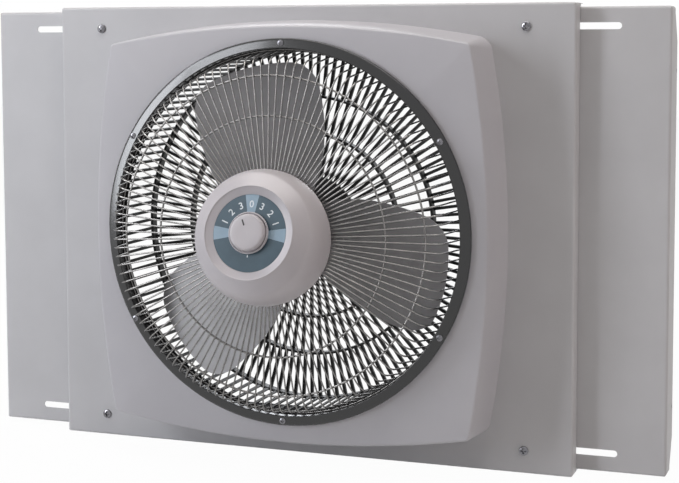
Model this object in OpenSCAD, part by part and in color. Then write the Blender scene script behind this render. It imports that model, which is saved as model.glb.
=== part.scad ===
// Window fan with two sliding side panels, a squarish bezel, a radial wire grille with a
// dial pod in its middle, a three-bladed propeller and a basket-shaped rear grille.
// Units are millimetres. +Z is up and the front looks towards -Y. The origin lies on the
// underside of the bottom flange, at the middle of its width and depth, where it rests on
// a window sill.

/* [Main panel] */
// Width of the main panel
panel_w = 673; // [640:1:720]
// Height of the main panel
panel_h = 556; // [548:1:600]
// Thickness of every folded sheet
sheet_t = 1.2; // [0.8:0.1:1.6]
// Outer radius of the front folds
bend_r = 3; // [2:0.5:5]
// Radius of the panel's corners seen from the front
corner_r = 4; // [3:0.5:8]
// Depth of the left and right flanges
side_flange = 20; // [12:1:20]
// Depth of the top and bottom flanges
sill_flange = 43; // [38:1:55]
// Height of the lip at the back of the top and bottom flanges
hem_lip = 4; // [2.5:0.5:4]
// How far the bezel's sides reach past the opening behind them
opening_cover = 6.9; // [4.4:0.5:12.4]
// How far the flat cuts above and below come in from that opening's circle
opening_flat = 25.5; // [22.5:0.5:28.5]
// Height of the fan's axis above the middle of the panel
fan_rise = 5.8; // [4:0.1:7]

/* [Corner hardware] */
// Distance of the corner screws from the main panel's sides
corner_screw_in = 58.7; // [54.5:0.1:62.5]
// Distance of the corner screws from the side panels' top and bottom
corner_screw_end = 22.4; // [20:0.1:25]
// Radius of the corner screws' shank
corner_screw_r = 2.5; // [2:0.1:3]
// Radius of the corner screws' head
corner_head_r = 5.5; // [4.5:0.1:6.5]
// Radius of the bushing's shoulder
bushing_r = 7; // [6.5:0.1:9]
// Play between a screw's shank and its hole
screw_play = 0.1; // [0.05:0.05:0.3]

/* [Side panels] */
// Distance from the middle to a drawn out side panel's outer edge
side_reach = 442; // [441:1:450]
// How much lower than the main panel the side panels are at each end
side_end_gap = 5; // [4:0.5:10]
// How far each side panel slides in
side_travel = 101.6; // [60:0.1:101.6]
// Gap between the main panel's side flange and the side panel
side_gap = 1; // [0.5:0.1:3]
// Depth of the outer flange in its middle
outer_flange = 42; // [36:1:50]
// Depth of the outer flange at its ends
outer_flange_end = 25; // [20:1:32]
// Height of the taper at each end of the outer flange
outer_taper = 32; // [20:1:40]
// Distance of that taper from the side panel's end
outer_taper_end = 8; // [4:1:16]
// Depth of the side panel's top and bottom flanges
side_edge_flange = 12; // [8:1:14]
// Height of the slots
slot_h = 8; // [7.6:0.1:9]
// Play between the bushing's neck and the slot
slot_play = 0.2; // [0.1:0.05:0.4]
// Sheet left between a slot and the inner end of the side panel
slot_land = 14; // [8:0.5:18]
// Spare length at each end of a slot
slot_spare = 1.5; // [1:0.1:3]
// Clearance between the slid in side panel and the rear grille
basket_clear = 2.5; // [1.5:0.1:6]
// Radius of the fixing holes in the outer flange
jamb_hole_r = 3; // [2:0.1:3.5]
// Distance of those holes from the side panel's top and bottom
jamb_hole_end = 75; // [68:1:123]
// Sheet between those holes and the flange's rear edge
jamb_land = 1.4; // [1:0.1:4]

/* [Bezel] */
// Half width of the bezel's base at the middle of each side
bezel_half = 257.4; // [256:0.1:258]
// Radius of the bulging sides at the base
bezel_side_r = 1230; // [1100:5:1400]
// Depth of the bezel in front of the panel
bezel_d = 68; // [60:0.5:76]
// How much each side leans in from base to face
bezel_draft = 6.9; // [4:0.1:9]
// Wall of the bezel
bezel_wall = 2.5; // [2:0.1:3.5]
// How much further from the middle the rounded corners lie than the sides, at the base
bezel_corner_out = 67.6; // [64.6:0.5:70.6]
// How much the rounded corners lean in from base to face
bezel_corner_draft = 4.2; // [3:0.1:6]
// Height of the bezel's middle above the panel's middle
bezel_rise = 2; // [0:0.1:4]
// Distance of the bezel's fixing posts from the middle of its sides, at the base
post_in = 50.4; // [48.4:0.5:53.4]
// Radius of the fixing posts
post_r = 6; // [5:0.1:7]
// Radius of the screws into the posts
post_screw_r = 2; // [1.6:0.1:2.4]
// Depth of the screw hole in a post
post_hole_d = 14; // [10:0.5:20]

/* [Grille rim] */
// Distance of the rim from the middle of the bezel's sides, at the base
rim_in = 25.4; // [21.4:0.1:26.4]
// Width of the rim's front
rim_w = 12.4; // [11.5:0.1:12.8]
// Thickness of the rim's metal
rim_t = 1.2; // [1:0.1:1.4]
// Height of the rim above the bezel's face
rim_h = 7.5; // [6:0.1:9]
// Length of the lip that goes in through the bezel
rim_lip_d = 18; // [14:0.5:19]
// Clearance between the lip and the bezel's hole
rim_clear = 0.8; // [0.5:0.1:1]
// Number of rim screws
rim_screw_n = 6; // [4:1:8]
// Distance of the rim screws from the rim's outer edge
rim_screw_in = 6; // [5.6:0.1:6.4]
// Radius of the rim screws' shank
rim_screw_r = 1.6; // [1.4:0.1:1.8]
// Radius of the rim screws' head
rim_head_r = 3.8; // [3.2:0.1:4.2]
// Radius of the bosses behind the bezel's face
rim_boss_r = 3.9; // [3.4:0.1:4]

/* [Front grille] */
// Number of radial wires
wire_n = 120; // [60:1:132]
// Radius of a radial wire
wire_r = 1; // [0.8:0.05:1.2]
// Radius of a ring wire
ring_wire_r = 1.2; // [1:0.05:1.5]
// Distance of the outer ring from where the wires' fronts turn back
outer_ring_in = 19.1; // [16:0.1:28]
// Radius of the inner ring
inner_ring_r = 142; // [120:0.1:160]
// Distance from the rim's lip to where the wires' fronts turn back
wire_turn_in = 11.6; // [9.6:0.1:13.6]
// Radius of that turn
wire_bend_r = 14; // [8:0.5:18]
// Distance of the wires' turn in front of the panel
wire_front = 109.5; // [106:0.1:112]
// How much the wires come forward from their turn to their inner ends
wire_crown = 5.3; // [3:0.1:7]
// Distance from the axis to the wires' inner ends
wire_inner_r = 69.5; // [68:0.1:72]
// Gap left where wires meet each other or the centre plate
weld_gap = 0.05; // [0:0.01:0.1]
// Radius of the centre plate
plate_r = 75; // [73:0.1:78]
// Thickness of the centre plate
plate_t = 1.6; // [1.2:0.1:2.5]

/* [Pod] */
// How far the pod looks up, in degrees
pod_tilt = 13.5; // [0:0.5:15]
// Height of the pod's axis above the panel's middle, at the pod's base point
pod_rise = 3.7; // [2:0.1:6]
// Distance of that base point in front of the panel
pod_base = 112; // [110:0.1:114]
// Largest radius of the bowl
pod_r = 79.4; // [77:0.1:82]
// Distance of the bowl's widest place from the base point, along its axis
pod_belly = 17.5; // [14:0.5:20]
// Distance of the bowl's lip from the base point, along its axis
pod_lip = 64.3; // [62:0.1:68]
// Radius of the lip's highest line
lip_r = 54; // [52:0.1:56]
// Radius of the crease between the bowl's sloping shoulder and its side
shoulder_r = 71; // [66:0.1:74]
// Wall of the bowl
pod_wall = 2.5; // [2:0.1:3.2]
// Radius of the dial
dial_r = 44.4; // [42:0.1:45]
// Depth of the dial below the lip
dial_drop = 4.2; // [2:0.1:5]
// Thickness of the dial plate
dial_t = 1.2; // [1:0.1:2]
// Distance of the pod's posts from the fan's axis
pod_post_pcd_r = 63; // [61:0.5:64]
// Radius of the pod's posts
pod_post_r = 4; // [3.5:0.1:4.5]

/* [Knob and switch] */
// Radius of the knob at its foot
knob_r = 24; // [22:0.1:26]
// Radius of the knob at its face
knob_face_r = 21.4; // [18:0.1:22]
// Height of the knob
knob_h = 9; // [8:0.5:18]
// Gap between the knob and the dial
knob_gap = 0.6; // [0.4:0.1:1]
// Radius of the switch's shaft
switch_shaft_r = 3; // [2.5:0.1:3.4]
// Radius of the switch's body
switch_r = 16; // [12:0.5:20]
// Height of the switch's body
switch_h = 14; // [10:0.5:16]
// Step between two dial numbers, in degrees
dial_step = 23; // [15:1:30]

/* [Motor] */
// Radius of the motor's can
motor_r = 56; // [54:0.5:58]
// Wall of the motor's shells
motor_wall = 2; // [1.6:0.1:2.4]
// Radius of the front cup that goes through the centre plate
motor_cup_r = 44; // [42:0.5:45]
// Distance of the front cup's end in front of the panel
motor_cup_front = 144; // [140:0.5:146]
// Distance of the can's rear end in front of the panel
motor_back = 78; // [76:0.5:80]
// Radius of the shaft
shaft_r = 4; // [3:0.1:5]
// Running clearance of the shaft in its bearings
shaft_play = 0.03; // [0.02:0.01:0.08]
// Radius of the rotor
rotor_r = 30; // [26:0.5:32]
// Gap between the rotor and the stator
air_gap = 0.4; // [0.3:0.1:0.8]
// Length of the rotor and the stator
stack_len = 18; // [14:0.5:18]
// Outer radius of the bearings
bearing_r = 8; // [7:0.1:9]
// Length of the bearings
bearing_len = 6; // [5:0.5:6]
// Number of bolts through the motor
motor_bolt_n = 4; // [3:1:6]
// Distance of those bolts from the axis
motor_bolt_pcd_r = 49.2; // [48.8:0.1:49.6]
// Radius of the bolts
motor_bolt_r = 2; // [1.6:0.1:2.2]

/* [Propeller] */
// Clearance between the blade tips and the basket's outside
tip_clear = 15.5; // [12.5:0.5:28.5]
// Radius of the blade roots
root_r = 44; // [40:0.5:48]
// Thickness of the blades' sheet
blade_t = 1.5; // [1:0.1:2]
// Distance of the blades' front edge in front of the panel
blade_front = 72; // [68:0.5:73]
// Distance of the blades' rear edge in front of the panel
blade_back = 28; // [26:0.5:36]
// Radius of the blades' rounded corners
blade_corner = 25; // [15:1:32]
// Radius of the spider's hub
hub_r = 14; // [11:0.5:18]
// Length of the spider's hub
hub_len = 28; // [22:1:30]
// Width of the spider's arms
arm_w = 24; // [20:1:28]
// Thickness of the spider's arms
arm_t = 2.5; // [2:0.1:4]
// Reach of the spider's arms
arm_r = 74; // [72:0.5:78]
// Radius of the rivets
rivet_r = 2; // [1.5:0.1:2.5]

/* [Rear grille] */
// Distance of the basket's back behind the panel
basket_back = 26; // [22:0.5:32]
// How much smaller than the rim's lip the basket is
basket_in = 1.1; // [0.8:0.1:3.6]
// Thickness of the basket's rings, in and out
basket_t = 3; // [2:0.1:3.2]
// Width of a bar
bar_w = 3.7; // [2.5:0.1:4.5]
// Thickness of the back bars
bar_t = 4; // [3:0.1:5]
// Depth of the rings
ring_d = 12; // [8:0.5:15]
// Number of bars outside the third ring
bar_n_outer = 120; // [60:1:132]
// Number of bars between the third and the second ring
bar_n_mid = 80; // [40:1:90]
// Number of bars inside the second ring
bar_n_inner = 60; // [20:1:64]
// Radius of the third ring
ring_3_r = 160.7; // [150:0.1:170]
// Radius of the second ring
ring_2_r = 114.4; // [100:0.1:125]
// Radius of the disc in the middle
back_disc_r = 62; // [50:0.5:80]
// Thickness of the basket's fixing flange
basket_flange_t = 2; // [1.5:0.1:3]

/* [Hidden] */

$fn = 96;
// Facets of circles wide enough to need more
wide_fn = 240;
// Facets of the bezel's very wide sides
side_fn = 720;
// Length by which a cutting shape passes the surface that it cuts
past = 1;
// Gap between two pieces that are clamped face to face
seat_gap = 0.1;

// The part's frame measured from the middle of the main panel's front
sill_mid = sill_flange / 2;
side_y = side_flange + side_gap;
side_h = panel_h - 2 * side_end_gap;

// Opening behind the bezel
opening_r = bezel_half - opening_cover;
opening_half_h = opening_r - opening_flat;

// Corner hardware
corner_screw_x = panel_w / 2 - corner_screw_in;
corner_screw_z = side_h / 2 - corner_screw_end;
neck_r = slot_h / 2 - slot_play;
corner_head_h = 2.8;
screw_slot_w = 1.2;
washer_t = 1.2;
washer_gap = 0.2;
washer_r = bushing_r + 1;
nut_r = bushing_r - 1;
nut_h = 4;
screw_tip = 2;
nut_y = side_y + sheet_t + washer_gap;

// Grille rim and the rings that follow it
rim_r = bezel_half - rim_in;
rim_lip_r = rim_r - rim_w;
rim_screw_pcd_r = rim_r - rim_screw_in;
wire_corner_r = rim_lip_r - wire_turn_in;
outer_ring_r = wire_corner_r - outer_ring_in;
basket_r = rim_lip_r - basket_in;
tip_r = basket_r - tip_clear;

// Side panels
arm_end_x = corner_screw_x - slot_h / 2 - slot_spare - slot_land;
jamb_hole_z = side_h / 2 - jamb_hole_end;
notch_r = basket_r + basket_clear;

// Bezel
bezel_front = -bezel_d;
bezel_corner_r = bezel_half + bezel_corner_out;
post_x = bezel_half - post_in;
bezel_hole_r = rim_lip_r + rim_t + rim_clear;
post_head_h = 2.4;
post_head_r = 2.1 * post_screw_r;
grommet_angle = -5;
grommet_y = -16;
grommet_r = 8;
grommet_neck_r = 5.5;
grommet_bore_r = 3.6;
grommet_cap = 3;
grommet_inner_r = 7;

// Depths of the rim and of the basket
rim_front = bezel_front - rim_h;
basket_gap = 0.3;
basket_front = rim_front + rim_lip_d + basket_gap;
rim_head_h = 2;
rim_slot_w = 1;
rim_screw_tip = 2;
rim_screw_len = basket_front + basket_flange_t + rim_screw_tip - rim_front;

// Front grille: distance in front of the panel of a wire's middle line, at radius r
function wire_y(r) = -wire_front - wire_crown * (wire_corner_r - r)
    / (wire_corner_r - wire_inner_r);
edge_ring_r = rim_lip_r - seat_gap - wire_r;
wire_start_r = edge_ring_r - 2 * wire_r - weld_gap;
wire_start_y = bezel_front + 8;
// A turn is a little thicker than the wire, and the part that comes out of the rim ends inside it
turn_swell = 0.02;
turn_lap = 0.4;
// Directions of a wire's two straight parts in its own plane of radius and depth, and its turn
wire_out_angle = atan2(-wire_front - wire_start_y, wire_corner_r - wire_start_r);
wire_in_angle = atan2(wire_y(wire_inner_r) + wire_front, wire_inner_r - wire_corner_r);
wire_turn = wire_out_angle - wire_in_angle;
wire_trim = wire_bend_r * tan(wire_turn / 2);
wire_corner = [wire_corner_r, -wire_front];
wire_turn_start = wire_corner - wire_trim * [cos(wire_out_angle), sin(wire_out_angle)];
wire_turn_end = wire_corner + wire_trim * [cos(wire_in_angle), sin(wire_in_angle)];
plate_front = wire_y(plate_r) + wire_r + weld_gap;
plate_back = plate_front + plate_t;

// Pod
pod_seat = wire_y(wire_inner_r) - wire_r - 2 * seat_gap;
pod_squash = pod_lip - pod_belly;
dial_face = pod_lip - dial_drop;
ledge_t = 1.8;
ledge_w = 5;
dial_play = 0.3;
lip_roll = 1.5;
pod_start_angle = -50;
pod_steps = 14;
pod_post_n = 3;
pod_post_len = 60;
pod_screw_r = 1.5;
pod_screw_head_r = 3;
pod_screw_head_h = 1.8;
pod_screw_depth = 12;

// Knob and switch
knob_foot = dial_face + knob_gap;
switch_top = dial_face - dial_t - seat_gap;
switch_bush_r = 5;
switch_bush_h = 5;
switch_nut_h = 2;
rest_number = 1;
knob_rest = dial_step * rest_number;
pointer_w = 2;
pointer_d = 1.2;
pointer_in = 8;
pointer_len = 7.5;
knob_roof = 2.5;
knob_socket = knob_h - knob_roof;
knob_skirt_h = 4;
knob_step = 2;
knob_play = 0.02;
knob_nut_play = 1;
switch_nut_r = 8;
switch_wall = 3;
switch_shaft_play = 0.05;
switch_shaft_end = 0.2;
tab_size = [0.8, 5, 8];
tab_reach = 2;

// Motor
motor_front_wall = -motor_cup_front;
motor_joint = plate_back + seat_gap + motor_wall;
pocket_wall = 3;
stack_back = -motor_back - motor_wall - bearing_len - pocket_wall;
stack_front = stack_back - stack_len;
coil_len = 7;
bearing_front = motor_front_wall + motor_wall + seat_gap;
bearing_back = -motor_back - motor_wall - seat_gap - bearing_len;
pocket_play = 0.05;
press_gap = 0.01;
bolt_head_h = 3;
bolt_head_r = 1.9 * motor_bolt_r;
motor_nut_h = 2.6;
stator_clear = 0.2;

// Propeller
blade_n = 3;
blade_mid_y = -(blade_front + blade_back) / 2;
blade_rise = blade_front - blade_back;
root_corner = 12;
// Blade outline: angles of the two edges in degrees, how fast they turn with the radius, and
// the radius that the front edge's angle is given at
front_edge_a = 61;
front_edge_turn = 0.29;
front_edge_curl = 0.00062;
sweep_r = 83;
rear_edge_a = 35.3;
rear_edge_turn = 0.143;
sheet_gap = 0.05;
rivet_head_r = 2 * rivet_r;
rivet_head_h = 1.2;
rivet_radii = [56, 68];
rivet_w = 6;
hub_mid_y = blade_mid_y + 2;
shaft_back = hub_mid_y + hub_len / 2 + 2;
set_screw_r = 2;

// Capacitor
cap_size = [34, 22, 15];
cap_offset = 50;

// Places everything that is measured from the middle of the panel's front
module at_sill() {
    translate([0, -sill_mid, panel_h / 2]) children();
}

// Places what turns about, or lies round, the fan's axis
module at_fan() {
    at_sill() translate([0, 0, fan_rise]) children();
}

// Places what lies round the pod's tilted axis, with local +Z looking out of the dial
module at_pod() {
    at_sill() translate([0, -pod_base, pod_rise]) rotate([90 - pod_tilt, 0, 0]) children();
}

// Extrudes an outline drawn in X and Z from one depth to another
module y_extrude(y0, y1) {
    translate([0, y1, 0]) rotate([90, 0, 0]) linear_extrude(y1 - y0) children();
}

// Round bar along Y from one depth to another
module y_rod(r, y0, y1, fn = 96) {
    translate([0, y0, 0]) rotate([-90, 0, 0]) cylinder(r = r, h = y1 - y0, $fn = fn);
}

// Revolves a profile of radius and depth about the Y axis
module y_revolve(fn = 240) {
    rotate([-90, 0, 0]) rotate_extrude($fn = fn) children();
}

// Flat ring about the Y axis
module y_ring(r_in, r_out, y0, y1, fn = 240) {
    y_revolve(fn) translate([r_in, y0]) square([r_out - r_in, y1 - y0]);
}

// Copies round the Y axis, counted from straight up
module round_y(n, start = 0) {
    for (i = [0 : n - 1]) rotate([0, start + i * 360 / n, 0]) children();
}

// Copies at the four combinations of left, right, up and down
module four_corners(x, z) {
    for (sx = [-1, 1], sz = [-1, 1]) translate([sx * x, 0, sz * z]) children();
}

// Rectangle with rounded corners, about its middle
module rounded_rect(w, h, r) {
    square([w - 2 * r, h], center = true);
    square([w, h - 2 * r], center = true);
    for (sx = [-1, 1], sy = [-1, 1]) translate([sx * (w / 2 - r), sy * (h / 2 - r)])
        circle(r = r, $fn = 32);
}

// Block with rounded front edges and corners, shrunk on every face by an inset
module folded_block(w, h, d, inset) {
    far = d + past;
    intersection() {
        y_extrude(inset, far) rounded_rect(w - 2 * inset, h - 2 * inset, corner_r - inset);
        translate([0, inset + far, -h / 2]) linear_extrude(h)
            rounded_rect(w - 2 * inset, 2 * far, bend_r - inset);
        translate([-w / 2, inset + far, 0]) rotate([90, 0, 90]) linear_extrude(w)
            rounded_rect(2 * far, h - 2 * inset, bend_r - inset);
    }
}

module front_panel() {
    color("#b4b2b5") at_sill() {
        difference() {
            folded_block(panel_w, panel_h, sill_flange - past, 0);
            folded_block(panel_w, panel_h, sill_flange, sheet_t);
            for (s = [-1, 1]) translate([s * panel_w / 2, side_flange + sill_flange, 0])
                cube([2 * corner_r, 2 * sill_flange, panel_h - 2 * sheet_t], center = true);
            translate([0, 0, fan_rise]) intersection() {
                y_rod(opening_r, -past, sheet_t + past, wide_fn);
                cube([2 * panel_w, 4 * sheet_t + 4 * past, 2 * opening_half_h], center = true);
            }
            four_corners(corner_screw_x, corner_screw_z)
                y_rod(corner_screw_r + screw_play, -past, sheet_t + past, 32);
            translate([0, 0, bezel_rise]) four_corners(post_x, post_x)
                y_rod(post_screw_r + screw_play, -past, sheet_t + past, 32);
        }
        for (s = [-1, 1]) translate([0, sill_flange - sheet_t / 2, s * (panel_h / 2 - hem_lip / 2)])
            cube([panel_w - 2 * corner_r, sheet_t, hem_lip], center = true);
    }
}

// Outline across the depth of a side panel's outer flange, with its tapered ends cut away
module outer_taper_cut() {
    top = side_h / 2 - outer_taper_end;
    deep = side_y + outer_flange;
    for (s = [-1, 1]) scale([1, s]) polygon([
        [side_y + outer_flange_end, top + outer_taper],
        [side_y + outer_flange_end, top],
        [deep, top - outer_taper],
        [deep + past, top - outer_taper],
        [deep + past, top + outer_taper]]);
}

// Right side panel, drawn out, as a folded sheet behind the main panel
module side_panel() {
    w = 2 * side_reach;
    d = outer_flange;
    difference() {
        translate([0, side_y, 0]) difference() {
            folded_block(w, side_h, d - past, 0);
            folded_block(w, side_h, d, sheet_t);
            translate([arm_end_x - 2 * w, -past, -side_h]) cube([2 * w, d + 3 * past, 2 * side_h]);
            translate([-past, side_edge_flange, -side_h])
                cube([side_reach - sheet_t - bend_r + past, d, 2 * side_h]);
        }
        translate([side_travel, 0, fan_rise]) y_rod(notch_r, 0, side_y + d + past, wide_fn);
        for (s = [-1, 1]) translate([corner_screw_x, 0, s * corner_screw_z]) {
            y_extrude(side_y - past, side_y + sheet_t + past) translate([-slot_spare, -slot_h / 2])
                square([side_travel + 2 * slot_spare, slot_h]);
            for (x = [-slot_spare, side_travel + slot_spare]) translate([x, 0, 0])
                y_rod(slot_h / 2, side_y - past, side_y + sheet_t + past, 32);
        }
        translate([side_reach - 2 * bend_r, 0, 0]) rotate([90, 0, 90]) linear_extrude(4 * bend_r)
            outer_taper_cut();
        for (s = [-1, 1])
            translate([side_reach - 2 * bend_r, side_y + d - jamb_land - jamb_hole_r, s * jamb_hole_z])
            rotate([0, 90, 0]) cylinder(r = jamb_hole_r, h = 4 * bend_r, $fn = 48);
    }
}

module left_side_panel() {
    color("#bbb9be") at_sill() mirror([1, 0, 0]) side_panel();
}

module right_side_panel() {
    color("#b1afb1") at_sill() side_panel();
}

module corner_screws() {
    color("#3a3838") at_sill() four_corners(corner_screw_x, corner_screw_z) {
        difference() {
            y_rod(corner_head_r, -corner_head_h, 0, 48);
            for (a = [0, 90]) rotate([0, a, 0]) translate([0, -corner_head_h, 0])
                cube([corner_head_r, corner_head_h, screw_slot_w], center = true);
        }
        y_rod(corner_screw_r, -corner_head_h / 4, nut_y + washer_t + nut_h + screw_tip, 32);
    }
}

module slide_bushings() {
    color("#e4e2dc") at_sill() four_corners(corner_screw_x, corner_screw_z) difference() {
        union() {
            y_rod(bushing_r, sheet_t, side_y - washer_gap, 48);
            y_rod(neck_r, sheet_t, nut_y, 48);
        }
        y_rod(corner_screw_r + screw_play, 0, nut_y + past, 32);
    }
}

module slide_nuts() {
    color("#8c8c90") at_sill() four_corners(corner_screw_x, corner_screw_z) difference() {
        union() {
            y_rod(washer_r, nut_y, nut_y + washer_t, 48);
            y_rod(nut_r, nut_y + washer_t, nut_y + washer_t + nut_h, 6);
        }
        y_rod(corner_screw_r + screw_play, nut_y - past, nut_y + washer_t + nut_h + past, 32);
    }
}

// Solid with four bulging, leaning sides and rounded corners, shrunk by an inset
module bezel_block(inset, y0, y1) {
    lean = bezel_draft / bezel_d;
    corner_lean = bezel_corner_draft / bezel_d;
    intersection() {
        intersection_for(a = [0 : 90 : 270]) rotate([0, a, 0]) bezel_side(inset, lean, y0, y1);
        translate([0, y1, 0]) rotate([90, 0, 0]) cylinder(h = y1 - y0,
            r1 = bezel_corner_r - inset + y1 * corner_lean,
            r2 = bezel_corner_r - inset + y0 * corner_lean, $fn = side_fn);
    }
}

// One very wide cone whose right-hand flank is one side of the bezel
module bezel_side(inset, lean, y0, y1) {
    translate([bezel_half - bezel_side_r, y1, 0]) rotate([90, 0, 0]) cylinder(h = y1 - y0,
        r1 = bezel_side_r - inset + y1 * lean, r2 = bezel_side_r - inset + y0 * lean, $fn = side_fn);
}

// The bezel's four sides
module front_bezel() {
    color("#aeacb2") at_sill() difference() {
        translate([0, 0, bezel_rise]) difference() {
            bezel_block(0, bezel_front + bezel_wall, 0);
            bezel_block(bezel_wall, bezel_front, past);
        }
        grommet_place() rotate([0, 90, 0])
            cylinder(r = grommet_neck_r + screw_play, h = 8 * bezel_wall, center = true, $fn = 48);
    }
}

// The bezel's front, with the round hole and the rim screws' holes
module bezel_face() {
    inside = bezel_front + bezel_wall;
    color("#aeacb2") at_sill() difference() {
        translate([0, 0, bezel_rise]) bezel_block(0, bezel_front, inside);
        translate([0, 0, fan_rise]) {
            y_rod(bezel_hole_r, bezel_front - past, inside + past, wide_fn);
            round_y(rim_screw_n) translate([0, 0, rim_screw_pcd_r])
                y_rod(rim_screw_r + screw_play, bezel_front - past, inside + past, 32);
        }
    }
}

// Fixing posts at the bezel's corners and bosses round its hole, all on the back of its front
module bezel_posts() {
    inside = bezel_front + bezel_wall;
    color("#aeacb2") at_sill() {
        translate([0, 0, bezel_rise]) four_corners(post_x, post_x) difference() {
            y_rod(post_r, inside, 0, 48);
            y_rod(post_screw_r + screw_play, -post_hole_d, past, 32);
        }
        translate([0, 0, fan_rise]) round_y(rim_screw_n) translate([0, 0, rim_screw_pcd_r])
            y_ring(rim_screw_r + screw_play, rim_boss_r, inside, basket_front, 32);
    }
}

// Puts local X along the outward normal of the bezel's left side, at the mains lead's hole
module grommet_place() {
    translate([0, 0, bezel_rise]) rotate([0, 180, 0]) translate([bezel_half - bezel_side_r, 0, 0])
        rotate([0, grommet_angle, 0])
        translate([bezel_side_r + grommet_y * bezel_draft / bezel_d, grommet_y, 0])
        rotate([0, 0, -atan(bezel_draft / bezel_d)]) children();
}

module cord_grommet() {
    color("#1d1d1e") at_sill() grommet_place() rotate([0, 90, 0]) difference() {
        union() {
            cylinder(r = grommet_r, h = grommet_cap, $fn = 48);
            translate([0, 0, -bezel_wall - grommet_cap / 2])
                cylinder(r = grommet_neck_r, h = bezel_wall + grommet_cap, $fn = 48);
            translate([0, 0, -bezel_wall - grommet_cap])
                cylinder(r = grommet_inner_r, h = grommet_cap, $fn = 48);
        }
        cylinder(r = grommet_bore_r, h = 8 * grommet_cap, center = true, $fn = 48);
    }
}

module bezel_screws() {
    color("#8c8c90") at_sill() translate([0, 0, bezel_rise]) four_corners(post_x, post_x) {
        y_rod(post_head_r, sheet_t, sheet_t + post_head_h, 32);
        y_rod(post_screw_r, -post_hole_d + past, sheet_t + post_head_h / 2, 32);
    }
}

module grille_rim() {
    color("#151516") at_fan() difference() {
        y_revolve() polygon([
            [rim_lip_r, rim_front],
            [rim_r, rim_front],
            [rim_r, bezel_front],
            [rim_r - rim_t, bezel_front],
            [rim_r - rim_t, rim_front + rim_t],
            [rim_lip_r + rim_t, rim_front + rim_t],
            [rim_lip_r + rim_t, rim_front + rim_lip_d],
            [rim_lip_r, rim_front + rim_lip_d]]);
        round_y(rim_screw_n) translate([0, 0, rim_screw_pcd_r])
            y_rod(rim_screw_r + screw_play, rim_front - past, rim_front + rim_t + past, 32);
    }
}

module rim_screws() {
    color("#cfd0d2") at_fan() round_y(rim_screw_n) translate([0, 0, rim_screw_pcd_r]) {
        difference() {
            y_rod(rim_head_r, rim_front - rim_head_h, rim_front, 32);
            for (a = [0, 90]) rotate([0, a, 0]) translate([0, rim_front - rim_head_h, 0])
                cube([rim_head_r, rim_head_h, rim_slot_w], center = true);
        }
        y_rod(rim_screw_r, rim_front - rim_head_h / 4, rim_front + rim_screw_len, 32);
    }
}

// Round rod in the X and Z plane, from point p towards angle a, of length len
module flat_rod(p, a, len, r) {
    translate([p[0], 0, p[1]]) rotate([0, 90 - a, 0]) cylinder(r = r, h = len, $fn = 24);
}

// Straight part of a formed wire, from its turn in to the centre plate
module wire_spoke() {
    start = wire_turn_end + weld_gap * [cos(wire_in_angle), sin(wire_in_angle)];
    len_in = norm([wire_inner_r, wire_y(wire_inner_r)] - start);
    rotate([-90, 0, 0]) flat_rod(start, wire_in_angle, len_in, wire_r);
}

// Outer part of a formed wire: out of the rim and round its turn
module wire_leg() {
    len_out = norm(wire_turn_start - [wire_start_r, wire_start_y]);
    centre = wire_turn_start + wire_bend_r * [cos(wire_out_angle - 90), sin(wire_out_angle - 90)];
    rotate([-90, 0, 0]) {
        flat_rod([wire_start_r, wire_start_y], wire_out_angle, len_out + turn_lap, wire_r);
        translate([centre[0], 0, centre[1]]) rotate([0, -(wire_in_angle + 90), 0]) rotate([90, 0, 0])
            rotate_extrude(angle = wire_turn, $fn = 96) translate([wire_bend_r, 0])
            circle(r = wire_r + turn_swell, $fn = 24);
    }
}

module grille_radial_wires() {
    color("#a5a09c") at_fan() round_y(wire_n) rotate([0, -90, 0]) wire_spoke();
}

module grille_wire_legs() {
    color("#a5a09c") at_fan() round_y(wire_n) rotate([0, -90, 0]) wire_leg();
}

// Ring wire of a given radius and depth
module ring_wire(r, y, wr) {
    y_revolve() translate([r, y]) circle(r = wr, $fn = 24);
}

module grille_ring_wires() {
    behind = wire_r + ring_wire_r + weld_gap;
    color("#a5a09c") at_fan() {
        ring_wire(outer_ring_r, wire_y(outer_ring_r) + behind, ring_wire_r);
        ring_wire(inner_ring_r, wire_y(inner_ring_r) + behind, ring_wire_r);
        ring_wire(edge_ring_r, wire_start_y - 2 * wire_r, wire_r);
    }
}

module grille_centre_plate() {
    color("#c9c6bd") at_fan() difference() {
        y_rod(plate_r, plate_front, plate_back, wide_fn);
        y_rod(motor_cup_r + past, plate_front - past, plate_back + past, 96);
        round_y(motor_bolt_n, 45) translate([0, 0, motor_bolt_pcd_r])
            y_rod(motor_bolt_r + screw_play, plate_front - past, plate_back + past, 24);
        round_y(pod_post_n) translate([0, 0, pod_post_pcd_r])
            y_rod(pod_screw_r + screw_play, plate_front - past, plate_back + past, 24);
    }
}

// Side of the bowl, as an ellipse from its foot to the shoulder's crease, shrunk by an inset
pod_crease_angle = acos((shoulder_r - lip_r) / (pod_r - lip_r));
function pod_side(inset) = [for (i = [0 : pod_steps])
    let(t = pod_start_angle + (pod_crease_angle - pod_start_angle) * i / pod_steps)
    [lip_r + (pod_r - lip_r - inset) * cos(t), pod_belly + (pod_squash - inset) * sin(t)]];

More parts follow.
